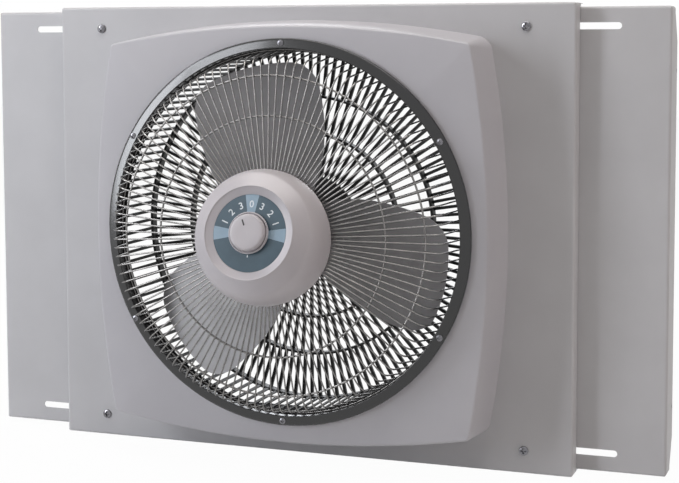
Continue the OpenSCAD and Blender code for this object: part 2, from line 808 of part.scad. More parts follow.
// Profile of the bowl: elliptical side, sloping shoulder, rolled lip, funnel and ledge
module pod_profile() {
    ledge_r = dial_r + dial_play;
    ledge_top = dial_face - dial_t - seat_gap;
    inside = pod_side(pod_wall);
    polygon(concat(pod_side(0),
        [for (t = [0 : 20 : 80]) [lip_r - lip_roll * sin(t), pod_lip - lip_roll * (1 - cos(t))]],
        [[ledge_r, dial_face], [ledge_r, ledge_top], [ledge_r - ledge_w, ledge_top]],
        [[ledge_r - ledge_w, ledge_top - ledge_t], [ledge_r + pod_wall, ledge_top - ledge_t]],
        [[lip_r, pod_lip - lip_roll - pod_wall]],
        [for (i = [pod_steps : -1 : 0]) inside[i]]));
}

module pod_housing() {
    reach = 2 * pod_r;
    color("#c3bfc2") difference() {
        union() {
            at_pod() rotate_extrude($fn = wide_fn) pod_profile();
            intersection() {
                at_fan() round_y(pod_post_n) translate([0, 0, pod_post_pcd_r])
                    y_rod(pod_post_r, plate_front - pod_post_len, plate_front, 32);
                at_pod() rotate_extrude($fn = wide_fn) polygon(concat([[0, -pod_belly]],
                    pod_side(pod_wall / 2), [[lip_r, pod_lip - pod_wall], [0, pod_lip - pod_wall]]));
            }
        }
        at_fan() difference() {
            translate([-reach, pod_seat, -reach]) cube([2 * reach, reach, 2 * reach]);
            round_y(pod_post_n) translate([0, 0, pod_post_pcd_r])
                y_rod(pod_post_r + past, pod_seat - past, plate_front, 32);
        }
        at_fan() round_y(pod_post_n) translate([0, 0, pod_post_pcd_r])
            y_rod(pod_screw_r + screw_play, plate_front - pod_screw_depth, plate_front + past, 24);
    }
}

module pod_screws() {
    color("#8c8c90") at_fan() round_y(pod_post_n) translate([0, 0, pod_post_pcd_r]) {
        y_rod(pod_screw_head_r, plate_back, plate_back + pod_screw_head_h, 32);
        y_rod(pod_screw_r, plate_front - pod_screw_depth + past, plate_back + pod_screw_head_h / 2, 24);
    }
}

module dial_plate() {
    color("#48606e") at_pod() translate([0, 0, dial_face - dial_t]) difference() {
        cylinder(r = dial_r, h = dial_t, $fn = 192);
        translate([0, 0, -past])
            cylinder(r = switch_bush_r + screw_play, h = dial_t + 2 * past, $fn = 48);
    }
}

module control_knob() {
    color("#c9c5c4") at_pod() rotate([0, 0, knob_rest]) translate([0, 0, knob_foot]) difference() {
        union() {
            cylinder(r = knob_r, h = knob_skirt_h, $fn = 96);
            translate([0, 0, knob_skirt_h / 2])
                cylinder(r1 = knob_r - knob_step, r2 = knob_face_r,
                    h = knob_h - knob_skirt_h / 2, $fn = 96);
        }
        translate([0, 0, -past])
            cylinder(r = switch_nut_r + knob_nut_play, h = switch_bush_h + past, $fn = 48);
        translate([0, 0, -past]) cylinder(r = switch_shaft_r + knob_play, h = knob_socket + past, $fn = 48);
        translate([-pointer_w / 2, pointer_in, knob_h - pointer_d])
            cube([pointer_w, pointer_len, 2 * pointer_d]);
    }
}

module switch_body() {
    color("#2b2b2d") at_pod() difference() {
        union() {
            translate([0, 0, switch_top - switch_h]) cylinder(r = switch_r, h = switch_h, $fn = 64);
            translate([0, 0, switch_top - past])
                cylinder(r = switch_bush_r, h = dial_t + switch_nut_h + 2 * past, $fn = 48);
            for (s = [-1, 1]) translate([s * switch_r / 2, 0, switch_top - switch_h - tab_reach])
                cube(tab_size, center = true);
        }
        translate([0, 0, switch_top - switch_h + switch_wall])
            cylinder(r = switch_shaft_r + switch_shaft_play, h = 2 * switch_h, $fn = 48);
    }
}

module switch_nut() {
    color("#b9babd") at_pod() translate([0, 0, dial_face]) difference() {
        cylinder(r = switch_nut_r, h = switch_nut_h, $fn = 6);
        translate([0, 0, -past])
            cylinder(r = switch_bush_r + screw_play, h = switch_nut_h + 2 * past, $fn = 48);
    }
}

module switch_shaft() {
    foot = switch_top - switch_h + switch_wall + switch_shaft_end;
    color("#a8a9ac") at_pod() translate([0, 0, foot])
        cylinder(r = switch_shaft_r, h = knob_foot + knob_socket - foot - seat_gap, $fn = 48);
}

module capacitor() {
    color("#e8e6e0") at_fan()
        translate([-cap_size[0] / 2, plate_front - seat_gap - cap_size[1], -cap_offset - cap_size[2]])
        cube(cap_size);
}

module motor_front_shell() {
    color("#b7b9bc") at_fan() difference() {
        union() {
            y_rod(motor_cup_r, motor_front_wall, motor_joint, 128);
            y_rod(motor_r, plate_back + seat_gap, motor_joint, 128);
        }
        y_rod(motor_cup_r - motor_wall, motor_front_wall + motor_wall, motor_joint + past, 128);
        y_rod(shaft_r + past, motor_front_wall - past, motor_joint, 48);
        motor_bolt_holes(motor_front_wall, motor_joint + past);
    }
    color("#b7b9bc") at_fan()
        y_ring(bearing_r + pocket_play, bearing_r + pocket_wall, motor_front_wall + motor_wall / 2,
            bearing_front + bearing_len, 96);
}

module motor_bolt_holes(y0, y1) {
    round_y(motor_bolt_n, 45) translate([0, 0, motor_bolt_pcd_r])
        y_rod(motor_bolt_r + screw_play, y0, y1, 24);
}

module motor_rear_shell() {
    back = -motor_back;
    color("#aeb0b3") at_fan() difference() {
        union() {
            y_ring(motor_r - motor_wall, motor_r, motor_joint, back, 128);
            y_ring(shaft_r + past, motor_r - motor_wall / 2, back - motor_wall, back, 128);
            y_ring(bearing_r + pocket_play, bearing_r + pocket_wall,
                bearing_back, back - motor_wall / 2, 96);
        }
        motor_bolt_holes(back - motor_wall - past, back + past);
    }
}

module motor_stator() {
    color("#6d6a66") at_fan() difference() {
        y_ring(rotor_r + air_gap, motor_r - motor_wall - stator_clear, stack_front, stack_back, 128);
        motor_bolt_holes(stack_front - past, stack_back + past);
    }
}

module motor_windings() {
    inner = rotor_r + air_gap + 1;
    outer = motor_cup_r - motor_wall - 1;
    color("#b4632c") at_fan() for (y = [stack_front - coil_len, stack_back])
        y_ring(inner, outer, y, y + coil_len, 96);
}

module motor_rotor() {
    color("#8f8e8c") at_fan() y_ring(shaft_r + press_gap, rotor_r, stack_front, stack_back, 128);
}

module motor_shaft() {
    color("#c4c6c9") at_fan() y_rod(shaft_r, bearing_front - past / 2, shaft_back, 48);
}

module motor_bearings() {
    color("#9c7a45") at_fan() for (y = [bearing_front, bearing_back])
        y_ring(shaft_r + shaft_play, bearing_r, y, y + bearing_len, 64);
}

module motor_bolts() {
    color("#9a9b9e") at_fan() round_y(motor_bolt_n, 45) translate([0, 0, motor_bolt_pcd_r]) {
        y_rod(bolt_head_r, plate_front - bolt_head_h, plate_front, 32);
        y_rod(motor_bolt_r, plate_front - bolt_head_h / 2, -motor_back + bolt_head_h, 24);
    }
}

module motor_nuts() {
    color("#86878a") at_fan() round_y(motor_bolt_n, 45) translate([0, 0, motor_bolt_pcd_r]) difference() {
        y_rod(bolt_head_r, -motor_back, -motor_back + motor_nut_h, 6);
        y_rod(motor_bolt_r + screw_play, -motor_back - past, -motor_back + bolt_head_h + past, 24);
    }
}

// Angles of a blade's front and rear edges at radius r, counted from its arm
function front_edge(r) = front_edge_a - front_edge_turn * (r - sweep_r)
    + front_edge_curl * pow(r - sweep_r, 2);
function rear_edge(r) = rear_edge_turn * r - rear_edge_a;
function mid_angle(r) = (front_edge(r) + rear_edge(r)) / 2;
// Rise of the blade per millimetre round the axis
function blade_slope(r) = blade_rise / (r * PI / 180 * (front_edge(r) - rear_edge(r)));
// Length by which the rounded corners draw the edges in at radius r
function corner_inset(r, end_r, c) = abs(r - end_r) >= c ? 0
    : c - sqrt(c * c - pow(c - abs(r - end_r), 2));
function edge_inset(r) = corner_inset(r, tip_r, blade_corner) + corner_inset(r, root_r, root_corner);
root_mid = mid_angle(arm_r);
root_pitch = atan(blade_slope(arm_r));

// Way round the axis from a blade's middle, measured straight across within the arms' reach
function way_round(r, a) = r <= arm_r ? r * sin(a) : r * a * PI / 180;

// Place on the blade at radius r and share u of the way from the rear edge to the front edge.
// Inside the arms' reach the blade is flat, so that it lies on its arm
function blade_point(r, u, lift) = let(
    inset = edge_inset(r) * 180 / PI / r,
    lo = rear_edge(r) + inset,
    hi = front_edge(r) - inset,
    a = lo + (hi - lo) * u,
    flat_r = max(r, arm_r),
    y = blade_mid_y - blade_slope(flat_r) * way_round(r, a - mid_angle(flat_r)))
    [r * cos(a), y + lift, r * sin(a)];

// One blade as a thin curved plate of triangles
module blade() {
    cols = 10;
    radii = concat([for (i = [0 : 3]) root_r + root_corner * (1 - cos(30 * i))],
        [for (i = [0 : 5]) arm_r + (tip_r - blade_corner - arm_r) * i / 5],
        [for (i = [1 : 5]) tip_r - blade_corner + blade_corner * sin(18 * i)]);
    rows = len(radii) - 1;
    pts = [for (lift = [-blade_t / 2, blade_t / 2], i = [0 : rows], j = [0 : cols])
        blade_point(radii[i], j / cols, lift)];
    back = (rows + 1) * (cols + 1);
    at = function(i, j) i * (cols + 1) + j;
    front = [for (i = [0 : rows - 1], j = [0 : cols - 1])
        each [[at(i, j), at(i, j + 1), at(i + 1, j)], [at(i, j + 1), at(i + 1, j + 1), at(i + 1, j)]]];
    rear = [for (f = front) [f[0] + back, f[2] + back, f[1] + back]];
    rim = concat([for (j = [0 : cols - 1]) [at(0, j), at(0, j + 1)]],
        [for (i = [0 : rows - 1]) [at(i, cols), at(i + 1, cols)]],
        [for (j = [cols : -1 : 1]) [at(rows, j), at(rows, j - 1)]],
        [for (i = [rows : -1 : 1]) [at(i, 0), at(i - 1, 0)]]);
    edge = [for (e = rim) each [[e[0], e[0] + back, e[1] + back], [e[0], e[1] + back, e[1]]]];
    polyhedron(pts, concat(front, rear, edge));
}

// Copies for the blades, with local X along each blade's arm
module each_blade() {
    for (i = [0 : blade_n - 1]) rotate([0, -90 - i * 360 / blade_n, 0]) children();
}

// Puts local X along an arm and local Y along the normal of the blade's root
module at_arm() {
    translate([0, blade_mid_y, 0]) rotate([0, -root_mid, 0]) rotate([root_pitch, 0, 0]) children();
}

module each_rivet() {
    for (x = rivet_radii, w = [-rivet_w, rivet_w]) translate([x, 0, w]) children();
}

module fan_blades() {
    color("#a3a1a3") at_fan() each_blade() difference() {
        blade();
        at_arm() each_rivet() y_rod(rivet_r + screw_play, -4 * blade_t, 4 * blade_t, 24);
    }
}

module blade_spider() {
    arm_y = blade_t / 2 + sheet_gap;
    color("#77787b") at_fan() difference() {
        union() {
            y_rod(hub_r, hub_mid_y - hub_len / 2, hub_mid_y + hub_len / 2, 64);
            each_blade() at_arm() translate([hub_r / 2, arm_y, -arm_w / 2])
                cube([arm_r - hub_r / 2, arm_t, arm_w]);
        }
        y_rod(shaft_r + press_gap, hub_mid_y - hub_len, hub_mid_y + hub_len, 48);
        each_blade() at_arm() each_rivet() y_rod(rivet_r + screw_play, 0, 4 * arm_t, 24);
        translate([0, hub_mid_y + hub_len / 3, 0])
            cylinder(r = set_screw_r + screw_play, h = 2 * hub_r, $fn = 24);
    }
}

module spider_set_screw() {
    color("#3c3c3e") at_fan() translate([0, hub_mid_y + hub_len / 3, shaft_r + pocket_play])
        cylinder(r = set_screw_r, h = hub_r - shaft_r + 1, $fn = 24);
}

module blade_rivets() {
    top = -blade_t / 2 - sheet_gap;
    bottom = blade_t / 2 + arm_t + 2 * sheet_gap;
    color("#c8c8ca") at_fan() each_blade() at_arm() each_rivet() {
        y_rod(rivet_head_r, top - rivet_head_h, top, 32);
        y_rod(rivet_r, top - rivet_head_h / 2, bottom + rivet_head_h / 2, 24);
        y_rod(rivet_head_r, bottom, bottom + rivet_head_h, 32);
    }
}

// Corners of the gap after bar i of n, between two radii
function gap_corners(i, n, r0, r1) = let(
    a0 = i * 360 / n,
    a1 = (i + 1) * 360 / n,
    d0 = asin(bar_w / 2 / r0),
    d1 = asin(bar_w / 2 / r1))
    [for (p = [[r0, a0 + d0], [r1, a0 + d1], [r1, a1 - d1], [r0, a1 - d0]]) p[0] * [sin(p[1]), cos(p[1])]];

// Flat back of the basket: bars left between rings of gaps, with their ends inside the rings
module back_bars() {
    bite = basket_t / 4;
    step = 360 / bar_n_outer;
    outer = [for (i = [0 : bar_n_outer - 1]) (basket_r - bite) * [sin(i * step), cos(i * step)]];
    gaps = concat(
        [for (i = [0 : bar_n_outer - 1])
            gap_corners(i, bar_n_outer, ring_3_r + bite, basket_r - basket_t + bite)],
        [for (i = [0 : bar_n_mid - 1]) gap_corners(i, bar_n_mid, ring_2_r + bite, ring_3_r - bite)],
        [for (i = [0 : bar_n_inner - 1]) gap_corners(i, bar_n_inner, back_disc_r, ring_2_r - bite)]);
    points = concat(outer, [for (g = gaps) each g]);
    paths = concat([[for (i = [0 : bar_n_outer - 1]) i]],
        [for (k = [0 : len(gaps) - 1]) [for (c = [0 : 3]) bar_n_outer + 4 * k + c]]);
    polygon(points, paths);
}

// Cross-sections of all the bars that run along the basket's side
module side_bars() {
    r0 = basket_r - basket_t * 0.8;
    r1 = basket_r - basket_t * 0.2;
    corners = [for (i = [0 : bar_n_outer - 1]) let(a = i * 360 / bar_n_outer)
        for (p = [[r0, -1], [r1, -1], [r1, 1], [r0, 1]])
            p[0] * [sin(a), cos(a)] + p[1] * bar_w / 2 * [cos(a), -sin(a)]];
    polygon(corners, [for (i = [0 : bar_n_outer - 1]) [for (c = [0 : 3]) 4 * i + c]]);
}

// Flat back of the basket: the bars with three rings
module rear_grille() {
    front = basket_back - ring_d;
    color("#1b1a19") at_fan() {
        y_extrude(basket_back - bar_t, basket_back) back_bars();
        y_ring(basket_r - basket_t, basket_r, front, basket_back);
        for (r = [ring_3_r, ring_2_r]) y_ring(r - basket_t / 2, r + basket_t / 2, front, basket_back);
    }
}

// Side of the basket: bars from the back's outer ring to the flange behind the rim
module basket_wall() {
    color("#1b1a19") at_fan() difference() {
        union() {
            y_extrude(basket_front + basket_flange_t / 2, basket_back - ring_d) side_bars();
            y_ring(basket_r - basket_t / 2, rim_screw_pcd_r + rim_boss_r,
                basket_front, basket_front + basket_flange_t);
        }
        round_y(rim_screw_n) translate([0, 0, rim_screw_pcd_r])
            y_rod(rim_screw_r + screw_play, basket_front - past, basket_front + basket_flange_t + past, 32);
    }
}

front_panel();
left_side_panel();
right_side_panel();
corner_screws();
slide_bushings();
slide_nuts();
front_bezel();
bezel_face();
bezel_posts();
bezel_screws();
cord_grommet();
grille_rim();
rim_screws();
grille_radial_wires();
grille_wire_legs();
grille_ring_wires();
grille_centre_plate();
pod_housing();
pod_screws();
dial_plate();
control_knob();
switch_body();
switch_nut();
switch_shaft();
capacitor();
motor_front_shell();
motor_rear_shell();
motor_stator();
motor_windings();
motor_rotor();
motor_shaft();
motor_bearings();
motor_bolts();
motor_nuts();
blade_spider();
spider_set_screw();
fan_blades();
blade_rivets();
rear_grille();
basket_wall();
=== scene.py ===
import math

import bmesh
import bpy
import numpy as np
from mathutils import Matrix


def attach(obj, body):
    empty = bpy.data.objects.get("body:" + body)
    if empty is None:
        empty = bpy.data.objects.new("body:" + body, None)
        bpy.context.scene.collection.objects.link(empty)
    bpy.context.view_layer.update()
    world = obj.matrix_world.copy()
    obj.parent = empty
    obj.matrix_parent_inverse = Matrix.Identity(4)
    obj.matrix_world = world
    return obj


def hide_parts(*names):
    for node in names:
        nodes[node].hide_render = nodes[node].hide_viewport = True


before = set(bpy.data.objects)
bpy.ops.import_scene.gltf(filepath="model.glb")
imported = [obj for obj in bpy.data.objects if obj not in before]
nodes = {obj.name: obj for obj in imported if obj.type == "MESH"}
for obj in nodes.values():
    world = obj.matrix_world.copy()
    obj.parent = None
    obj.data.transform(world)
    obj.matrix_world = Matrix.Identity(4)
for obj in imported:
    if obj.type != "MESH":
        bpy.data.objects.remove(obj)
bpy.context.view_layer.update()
scene = bpy.context.scene
mm = 0.001
mergeDistance = 1e-6  # metres; points nearer to each other than this are made one
print("frame loaded,", len(nodes), "nodes")

# Middle of the main panel's front in the part's frame, and distances from it, in millimetres
place = {
    "panelMid": (0.0, -21.5, 278.0),
    "fanRise": 5.8,
    "bezelRise": 2.0,
    "podRise": 3.7,
    "podBase": 112.0,
    "podTilt": 13.5,
}
panelMid = np.array(place["panelMid"])
fanMid = panelMid + [0, 0, place["fanRise"]]
bezelMid = panelMid + [0, 0, place["bezelRise"]]
podFoot = panelMid + [0, -place["podBase"], place["podRise"]]
tilt = math.radians(place["podTilt"])
podAxis = np.array([0, -math.cos(tilt), math.sin(tilt)])
podUp = np.array([0, math.sin(tilt), math.cos(tilt)])
sideways = np.array([1.0, 0, 0])


def gridFaces(rows, cols, closeRows=False):
    # Quad (i, j) joins points (i, j), (i, j+1), (i+1, j+1) and (i+1, j). Columns always wrap round
    # to 0, and rows do where they are closed.
    i, j = np.meshgrid(np.arange(rows if closeRows else rows - 1), np.arange(cols), indexing="ij")
    iNext, jNext = (i + 1) % rows, (j + 1) % cols
    quads = np.stack([i * cols + j, i * cols + jNext, iNext * cols + jNext, iNext * cols + j], axis=-1)
    return quads.reshape(-1, 4).tolist()


def revolved(profile, middle, count, axis=(0, 1, 0), up=(0, 0, 1)):
    # Point (i, j) = middle + along_i * axis + r_i * (sin a_j * across + cos a_j * up), a_j evenly spaced
    profile = np.asarray(profile, float)
    axis, up = np.asarray(axis, float), np.asarray(up, float)
    across = np.cross(up, axis) * -1
    a = np.linspace(0, 2 * np.pi, count, endpoint=False)
    ring = np.sin(a)[:, None] * across + np.cos(a)[:, None] * up
    return np.asarray(middle) + profile[:, 1, None, None] * axis + profile[:, 0, None, None] * ring


def fillet(corner, before, after, radius, steps=6):
    # Arc of that radius in the corner between two straight edges, as points from edge to edge
    corner, before, after = (np.asarray(p, float) for p in (corner, before, after))
    u = (before - corner) / np.linalg.norm(before - corner)
    v = (after - corner) / np.linalg.norm(after - corner)
    half = math.acos(float(np.clip(u @ v, -1, 1))) / 2
    middle = corner + (u + v) / np.linalg.norm(u + v) * radius / math.sin(half)
    a0 = corner + u * radius / math.tan(half) - middle
    a1 = corner + v * radius / math.tan(half) - middle
    t0, t1 = math.atan2(a0[1], a0[0]), math.atan2(a1[1], a1[0])
    turn = (t1 - t0 + math.pi) % (2 * math.pi) - math.pi
    t = t0 + turn * np.linspace(0, 1, steps)
    return (middle + radius * np.stack([np.cos(t), np.sin(t)], axis=1)).tolist()


def roundedProfile(corners):
    # Each corner is (r, along, radius); a radius above 0 turns it into an arc
    points = []
    for k, (r, along, radius) in enumerate(corners):
        if radius > 0:
            points += fillet((r, along), corners[k - 1][:2], corners[(k + 1) % len(corners)][:2], radius)
        else:
            points.append([r, along])
    return points


def addPiece(name, points, faces, body, finishes, stands=(), sharp=35, tidy=True, picks=None):
    # Millimetres in, metres in the mesh; picks holds each face's finish number
    mesh = bpy.data.meshes.new(name)
    mesh.from_pydata((np.asarray(points, float).reshape(-1, 3) * mm).tolist(), [], faces)
    if tidy:
        work = bmesh.new()
        work.from_mesh(mesh)
        bmesh.ops.remove_doubles(work, verts=work.verts, dist=mergeDistance)
        bmesh.ops.recalc_face_normals(work, faces=work.faces)
        work.to_mesh(mesh)
        work.free()
    for finish in finishes:
        mesh.materials.append(finish)
    if picks is not None:
        mesh.polygons.foreach_set("material_index", np.asarray(picks, np.int32))
    mesh.shade_smooth()
    mesh.set_sharp_from_angle(angle=math.radians(sharp))
    piece = bpy.data.objects.new(name, mesh)
    scene.collection.objects.link(piece)
    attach(piece, body)
    if stands:
        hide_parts(*stands)
    print("  piece", name, len(mesh.polygons), "faces")


def joined(parts):
    # Several (points, faces) pairs as one
    points, faces, start = [], [], 0
    for somePoints, someFaces in parts:
        somePoints = np.asarray(somePoints, float).reshape(-1, 3)
        points.append(somePoints)
        faces += [[index + start for index in face] for face in someFaces]
        start += len(somePoints)
    return np.concatenate(points), faces


def turnedRing(profile, middle, count, **ways):
    # A closed profile carried all the way round
    points = revolved(profile, middle, count, **ways)
    return points.reshape(-1, 3), gridFaces(len(profile), count, closeRows=True)


def roundTheFan(count, radius, y=0.0):
    # Places evenly spaced on a circle about the fan's axis, clockwise from the top
    turns = [2 * math.pi * k / count for k in range(count)]
    return [fanMid + [radius * math.sin(a), y, radius * math.cos(a)] for a in turns]


def atCorners(middle, x, z):
    # The four corners of a rectangle about its middle
    return [middle + [i * x, 0, k * z] for i in (-1, 1) for k in (-1, 1)]


def placedMatrix(right, up, back, at):
    # Columns are the object's own X, Y and Z, then its place
    rows = [[float(right[k]), float(up[k]), float(back[k]), float(at[k])] for k in range(3)]
    return Matrix(rows + [[0, 0, 0, 1]])


def linearColour(hexText, alpha=1.0):
    # sRGB hex to the linear numbers that the sockets take
    values = [int(hexText[k:k + 2], 16) / 255 for k in (1, 3, 5)]
    return tuple(v / 12.92 if v <= 0.04045 else ((v + 0.055) / 1.055) ** 2.4 for v in values) + (alpha,)


def addNode(tree, kind, settings=None, values=None, links=None):
    # Adds one node with its own settings, its sockets' values and its sockets' sources
    node = tree.nodes.new("ShaderNode" + kind)
    for key, value in (settings or {}).items():
        setattr(node, key, value)
    for key, value in (values or {}).items():
        node.inputs[key].default_value = value
    for key, source in (links or {}).items():
        tree.links.new(source, node.inputs[key])
    return node


# What all finishes share: detail and roughness of the two noises, and the middle part of their
# range that is spread over the whole change of colour or gloss
noises = {
    "mottleDetail": 3.0, "mottleRough": 0.55, "grainDetail": 2.0, "grainRough": 0.6, "range": (0.3, 0.7),
}


def makeFinish(name, look):
    # Mottled colour, grain in the surface and uneven gloss, all on Object coordinates
    material = bpy.data.materials.new(name)
    material.use_nodes = True
    tree = material.node_tree
    tree.nodes.clear()
    where = addNode(tree, "TexCoord").outputs["Object"]
    stretch = look.get("stretch", (1, 1, 1))
    low, high = noises["range"]
    spread = addNode(tree, "Mapping", values={"Scale": stretch}, links={"Vector": where}).outputs["Vector"]
    mottle = addNode(
        tree, "TexNoise",
        values={
            "Scale": 1 / (look["mottleMm"] * mm),
            "Detail": noises["mottleDetail"],
            "Roughness": noises["mottleRough"],
        },
        links={"Vector": where},
    )
    grain = addNode(
        tree, "TexNoise",
        values={
            "Scale": 1 / (look["grainMm"] * mm),
            "Detail": noises["grainDetail"],
            "Roughness": noises["grainRough"],
        },
        links={"Vector": spread},
    )
    ramp = addNode(tree, "ValToRGB", links={"Fac": mottle.outputs["Fac"]})
    for stop, position, colour in zip(ramp.color_ramp.elements, (low, high), (look["dark"], look["light"])):
        stop.position = position
        stop.color = linearColour(colour)
    gloss = addNode(
        tree, "MapRange",
        values={"From Min": low, "From Max": high, "To Min": look["rough"][0], "To Max": look["rough"][1]},
        links={"Value": grain.outputs["Fac"]},
    )
    bump = addNode(
        tree, "Bump",
        values={"Strength": look.get("bump", 0.3), "Distance": look["grainDepthMm"] * mm},
        links={"Height": grain.outputs["Fac"]},
    )
    shader = addNode(
        tree, "BsdfPrincipled",
        values={
            "Metallic": look.get("metallic", 0.0),
            "IOR": look.get("ior", 1.5),
            "Coat Weight": look.get("coat", 0.0),
            "Coat Roughness": look.get("coatRough", 0.1),
        },
        links={
            "Base Color": ramp.outputs["Color"],
            "Roughness": gloss.outputs["Result"],
            "Normal": bump.outputs["Normal"],
        },
    )
    addNode(tree, "OutputMaterial", links={"Surface": shader.outputs["BSDF"]})
    return material


# Baked powder coat on steel sheet: satin grey with a faint orange peel of about 1 mm
powderCoat = makeFinish("powderCoatedSteel", {
    "light": "#bfbec0", "dark": "#b9b8ba", "mottleMm": 90, "grainMm": 1.1, "grainDepthMm": 0.06,
    "rough": (0.42, 0.52), "bump": 0.25,
})
# Moulded ABS with a spark-eroded grain: matt lilac grey, grain drawn at 0.9 mm so that it shows
mouldedAbs = makeFinish("mouldedAbsGrained", {
    "light": "#bbb9bd", "dark": "#b5b3b8", "mottleMm": 120, "grainMm": 0.9, "grainDepthMm": 0.05,
    "rough": (0.45, 0.58), "bump": 0.3, "ior": 1.53,
})
# Moulded ABS of the pod and knob: warmer and smoother than the bezel
podAbs = makeFinish("mouldedAbsSmooth", {
    "light": "#c0bbbe", "dark": "#b9b4b8", "mottleMm": 60, "grainMm": 0.7, "grainDepthMm": 0.03,
    "rough": (0.34, 0.44), "bump": 0.2, "ior": 1.53,
})
# Stoved black enamel on the pressed rim: deep, slightly rippled gloss
blackEnamel = makeFinish("stovedBlackEnamel", {
    "light": "#121214", "dark": "#0d0d0f", "mottleMm": 25, "grainMm": 1.6, "grainDepthMm": 0.03,
    "rough": (0.2, 0.26), "bump": 0.1, "coat": 0.35, "coatRough": 0.1,
})
# Plated steel wire: dark grey metal, a little cloudy
platedWire = makeFinish("brightPlatedSteelWire", {
    "light": "#858381", "dark": "#737170", "mottleMm": 14, "grainMm": 1.2, "grainDepthMm": 0.02,
    "rough": (0.18, 0.27), "bump": 0.1, "metallic": 1.0,
})
# Rolled and lacquered sheet of the blades: soft grey with fine rolling lines along X
rolledSheet = makeFinish("lacqueredRolledSheet", {
    "light": "#9c9a9c", "dark": "#929092", "mottleMm": 40, "grainMm": 0.8, "grainDepthMm": 0.02,
    "rough": (0.4, 0.52), "bump": 0.15, "stretch": (0.08, 1, 1), "metallic": 0.15,
})
# Moulded black polypropylene of the basket: matt, a little brown in the light
blackPolymer = makeFinish("mouldedBlackPolypropylene", {
    "light": "#191716", "dark": "#121110", "mottleMm": 30, "grainMm": 0.8, "grainDepthMm": 0.04,
    "rough": (0.5, 0.65), "bump": 0.3, "ior": 1.49,
})
# Nickel-plated steel screws: bright with light turning marks
nickelPlate = makeFinish("nickelPlatedSteel", {
    "light": "#c9c9cc", "dark": "#b6b6ba", "mottleMm": 4, "grainMm": 0.4, "grainDepthMm": 0.01,
    "rough": (0.16, 0.28), "bump": 0.15, "metallic": 1.0,
})
# Dulled nickel plating on the screw heads that face the room
dullNickel = makeFinish("dulledNickelPlate", {
    "light": "#828185", "dark": "#6c6b6f", "mottleMm": 4, "grainMm": 0.4, "grainDepthMm": 0.01,
    "rough": (0.2, 0.32), "bump": 0.15, "metallic": 1.0,
})
# Zinc-plated steel of shells, nuts and hidden screws: bluish, slightly cloudy
zincPlate = makeFinish("zincPlatedSteel", {
    "light": "#aeb1b5", "dark": "#989ba0", "mottleMm": 9, "grainMm": 0.7, "grainDepthMm": 0.02,
    "rough": (0.3, 0.45), "bump": 0.2, "metallic": 1.0,
})
# Oven-dried cream paint on the centre plate
creamPaint = makeFinish("creamOvenPaint", {
    "light": "#cfcbc0", "dark": "#c4c0b5", "mottleMm": 30, "grainMm": 1.0, "grainDepthMm": 0.04,
    "rough": (0.4, 0.5), "bump": 0.25,
})
# Stacked silicon-steel laminations: fine lines across Y, drawn 1 mm apart so that they show
laminations = makeFinish("stackedLaminations", {
    "light": "#8a8783", "dark": "#6b6864", "mottleMm": 12, "grainMm": 1.0, "grainDepthMm": 0.08,
    "rough": (0.4, 0.6), "bump": 0.5, "metallic": 0.8, "stretch": (0.05, 1, 0.05),
})
# Enamelled copper winding: turns of about 0.8 mm
copperWire = makeFinish("enamelledCopperWire", {
    "light": "#b8682f", "dark": "#8f4a1f", "mottleMm": 6, "grainMm": 0.8, "grainDepthMm": 0.15,
    "rough": (0.25, 0.4), "bump": 0.7, "metallic": 0.8, "stretch": (0.2, 1, 0.2),
})
# Sintered bronze bearings: porous and oily
sinteredBronze = makeFinish("sinteredBronze", {
    "light": "#a98752", "dark": "#86683c", "mottleMm": 3, "grainMm": 0.4, "grainDepthMm": 0.04,
    "rough": (0.35, 0.55), "bump": 0.4, "metallic": 1.0,
})
# Moulded white acetal of the slide bushings and the capacitor's case
whiteAcetal = makeFinish("mouldedWhiteAcetal", {
    "light": "#e9e7e1", "dark": "#dedbd3", "mottleMm": 10, "grainMm": 0.6, "grainDepthMm": 0.02,
    "rough": (0.3, 0.42), "bump": 0.2, "ior": 1.48,
})
# Vulcanised black rubber of the lead's gland
blackRubber = makeFinish("vulcanisedRubber", {
    "light": "#202022", "dark": "#161618", "mottleMm": 8, "grainMm": 0.5, "grainDepthMm": 0.05,
    "rough": (0.6, 0.75), "bump": 0.4, "ior": 1.52,
})
# Screen-printed inks on the dial: dark teal, pale blue and white, all satin
tealInk = makeFinish("screenPrintedTeal", {
    "light": "#39515e", "dark": "#314855", "mottleMm": 14, "grainMm": 0.5, "grainDepthMm": 0.01,
    "rough": (0.3, 0.42), "bump": 0.15,
})
paleInk = makeFinish("screenPrintedPaleBlue", {
    "light": "#95abbb", "dark": "#889fb0", "mottleMm": 14, "grainMm": 0.5, "grainDepthMm": 0.01,
    "rough": (0.3, 0.42), "bump": 0.15,
})
whiteInk = makeFinish("screenPrintedWhite", {
    "light": "#e6ebee", "dark": "#d8dee2", "mottleMm": 6, "grainMm": 0.4, "grainDepthMm": 0.01,
    "rough": (0.35, 0.45), "bump": 0.15,
})
# Painted shade: dark paint on a flat bar in the knob's notch, standing in for the notch's shadow
notchShadePaint = makeFinish("paintedNotchShade", {
    "light": "#3a3636", "dark": "#2c2929", "mottleMm": 3, "grainMm": 0.4, "grainDepthMm": 0.02,
    "rough": (0.45, 0.55), "bump": 0.2,
})
print("finishes made")

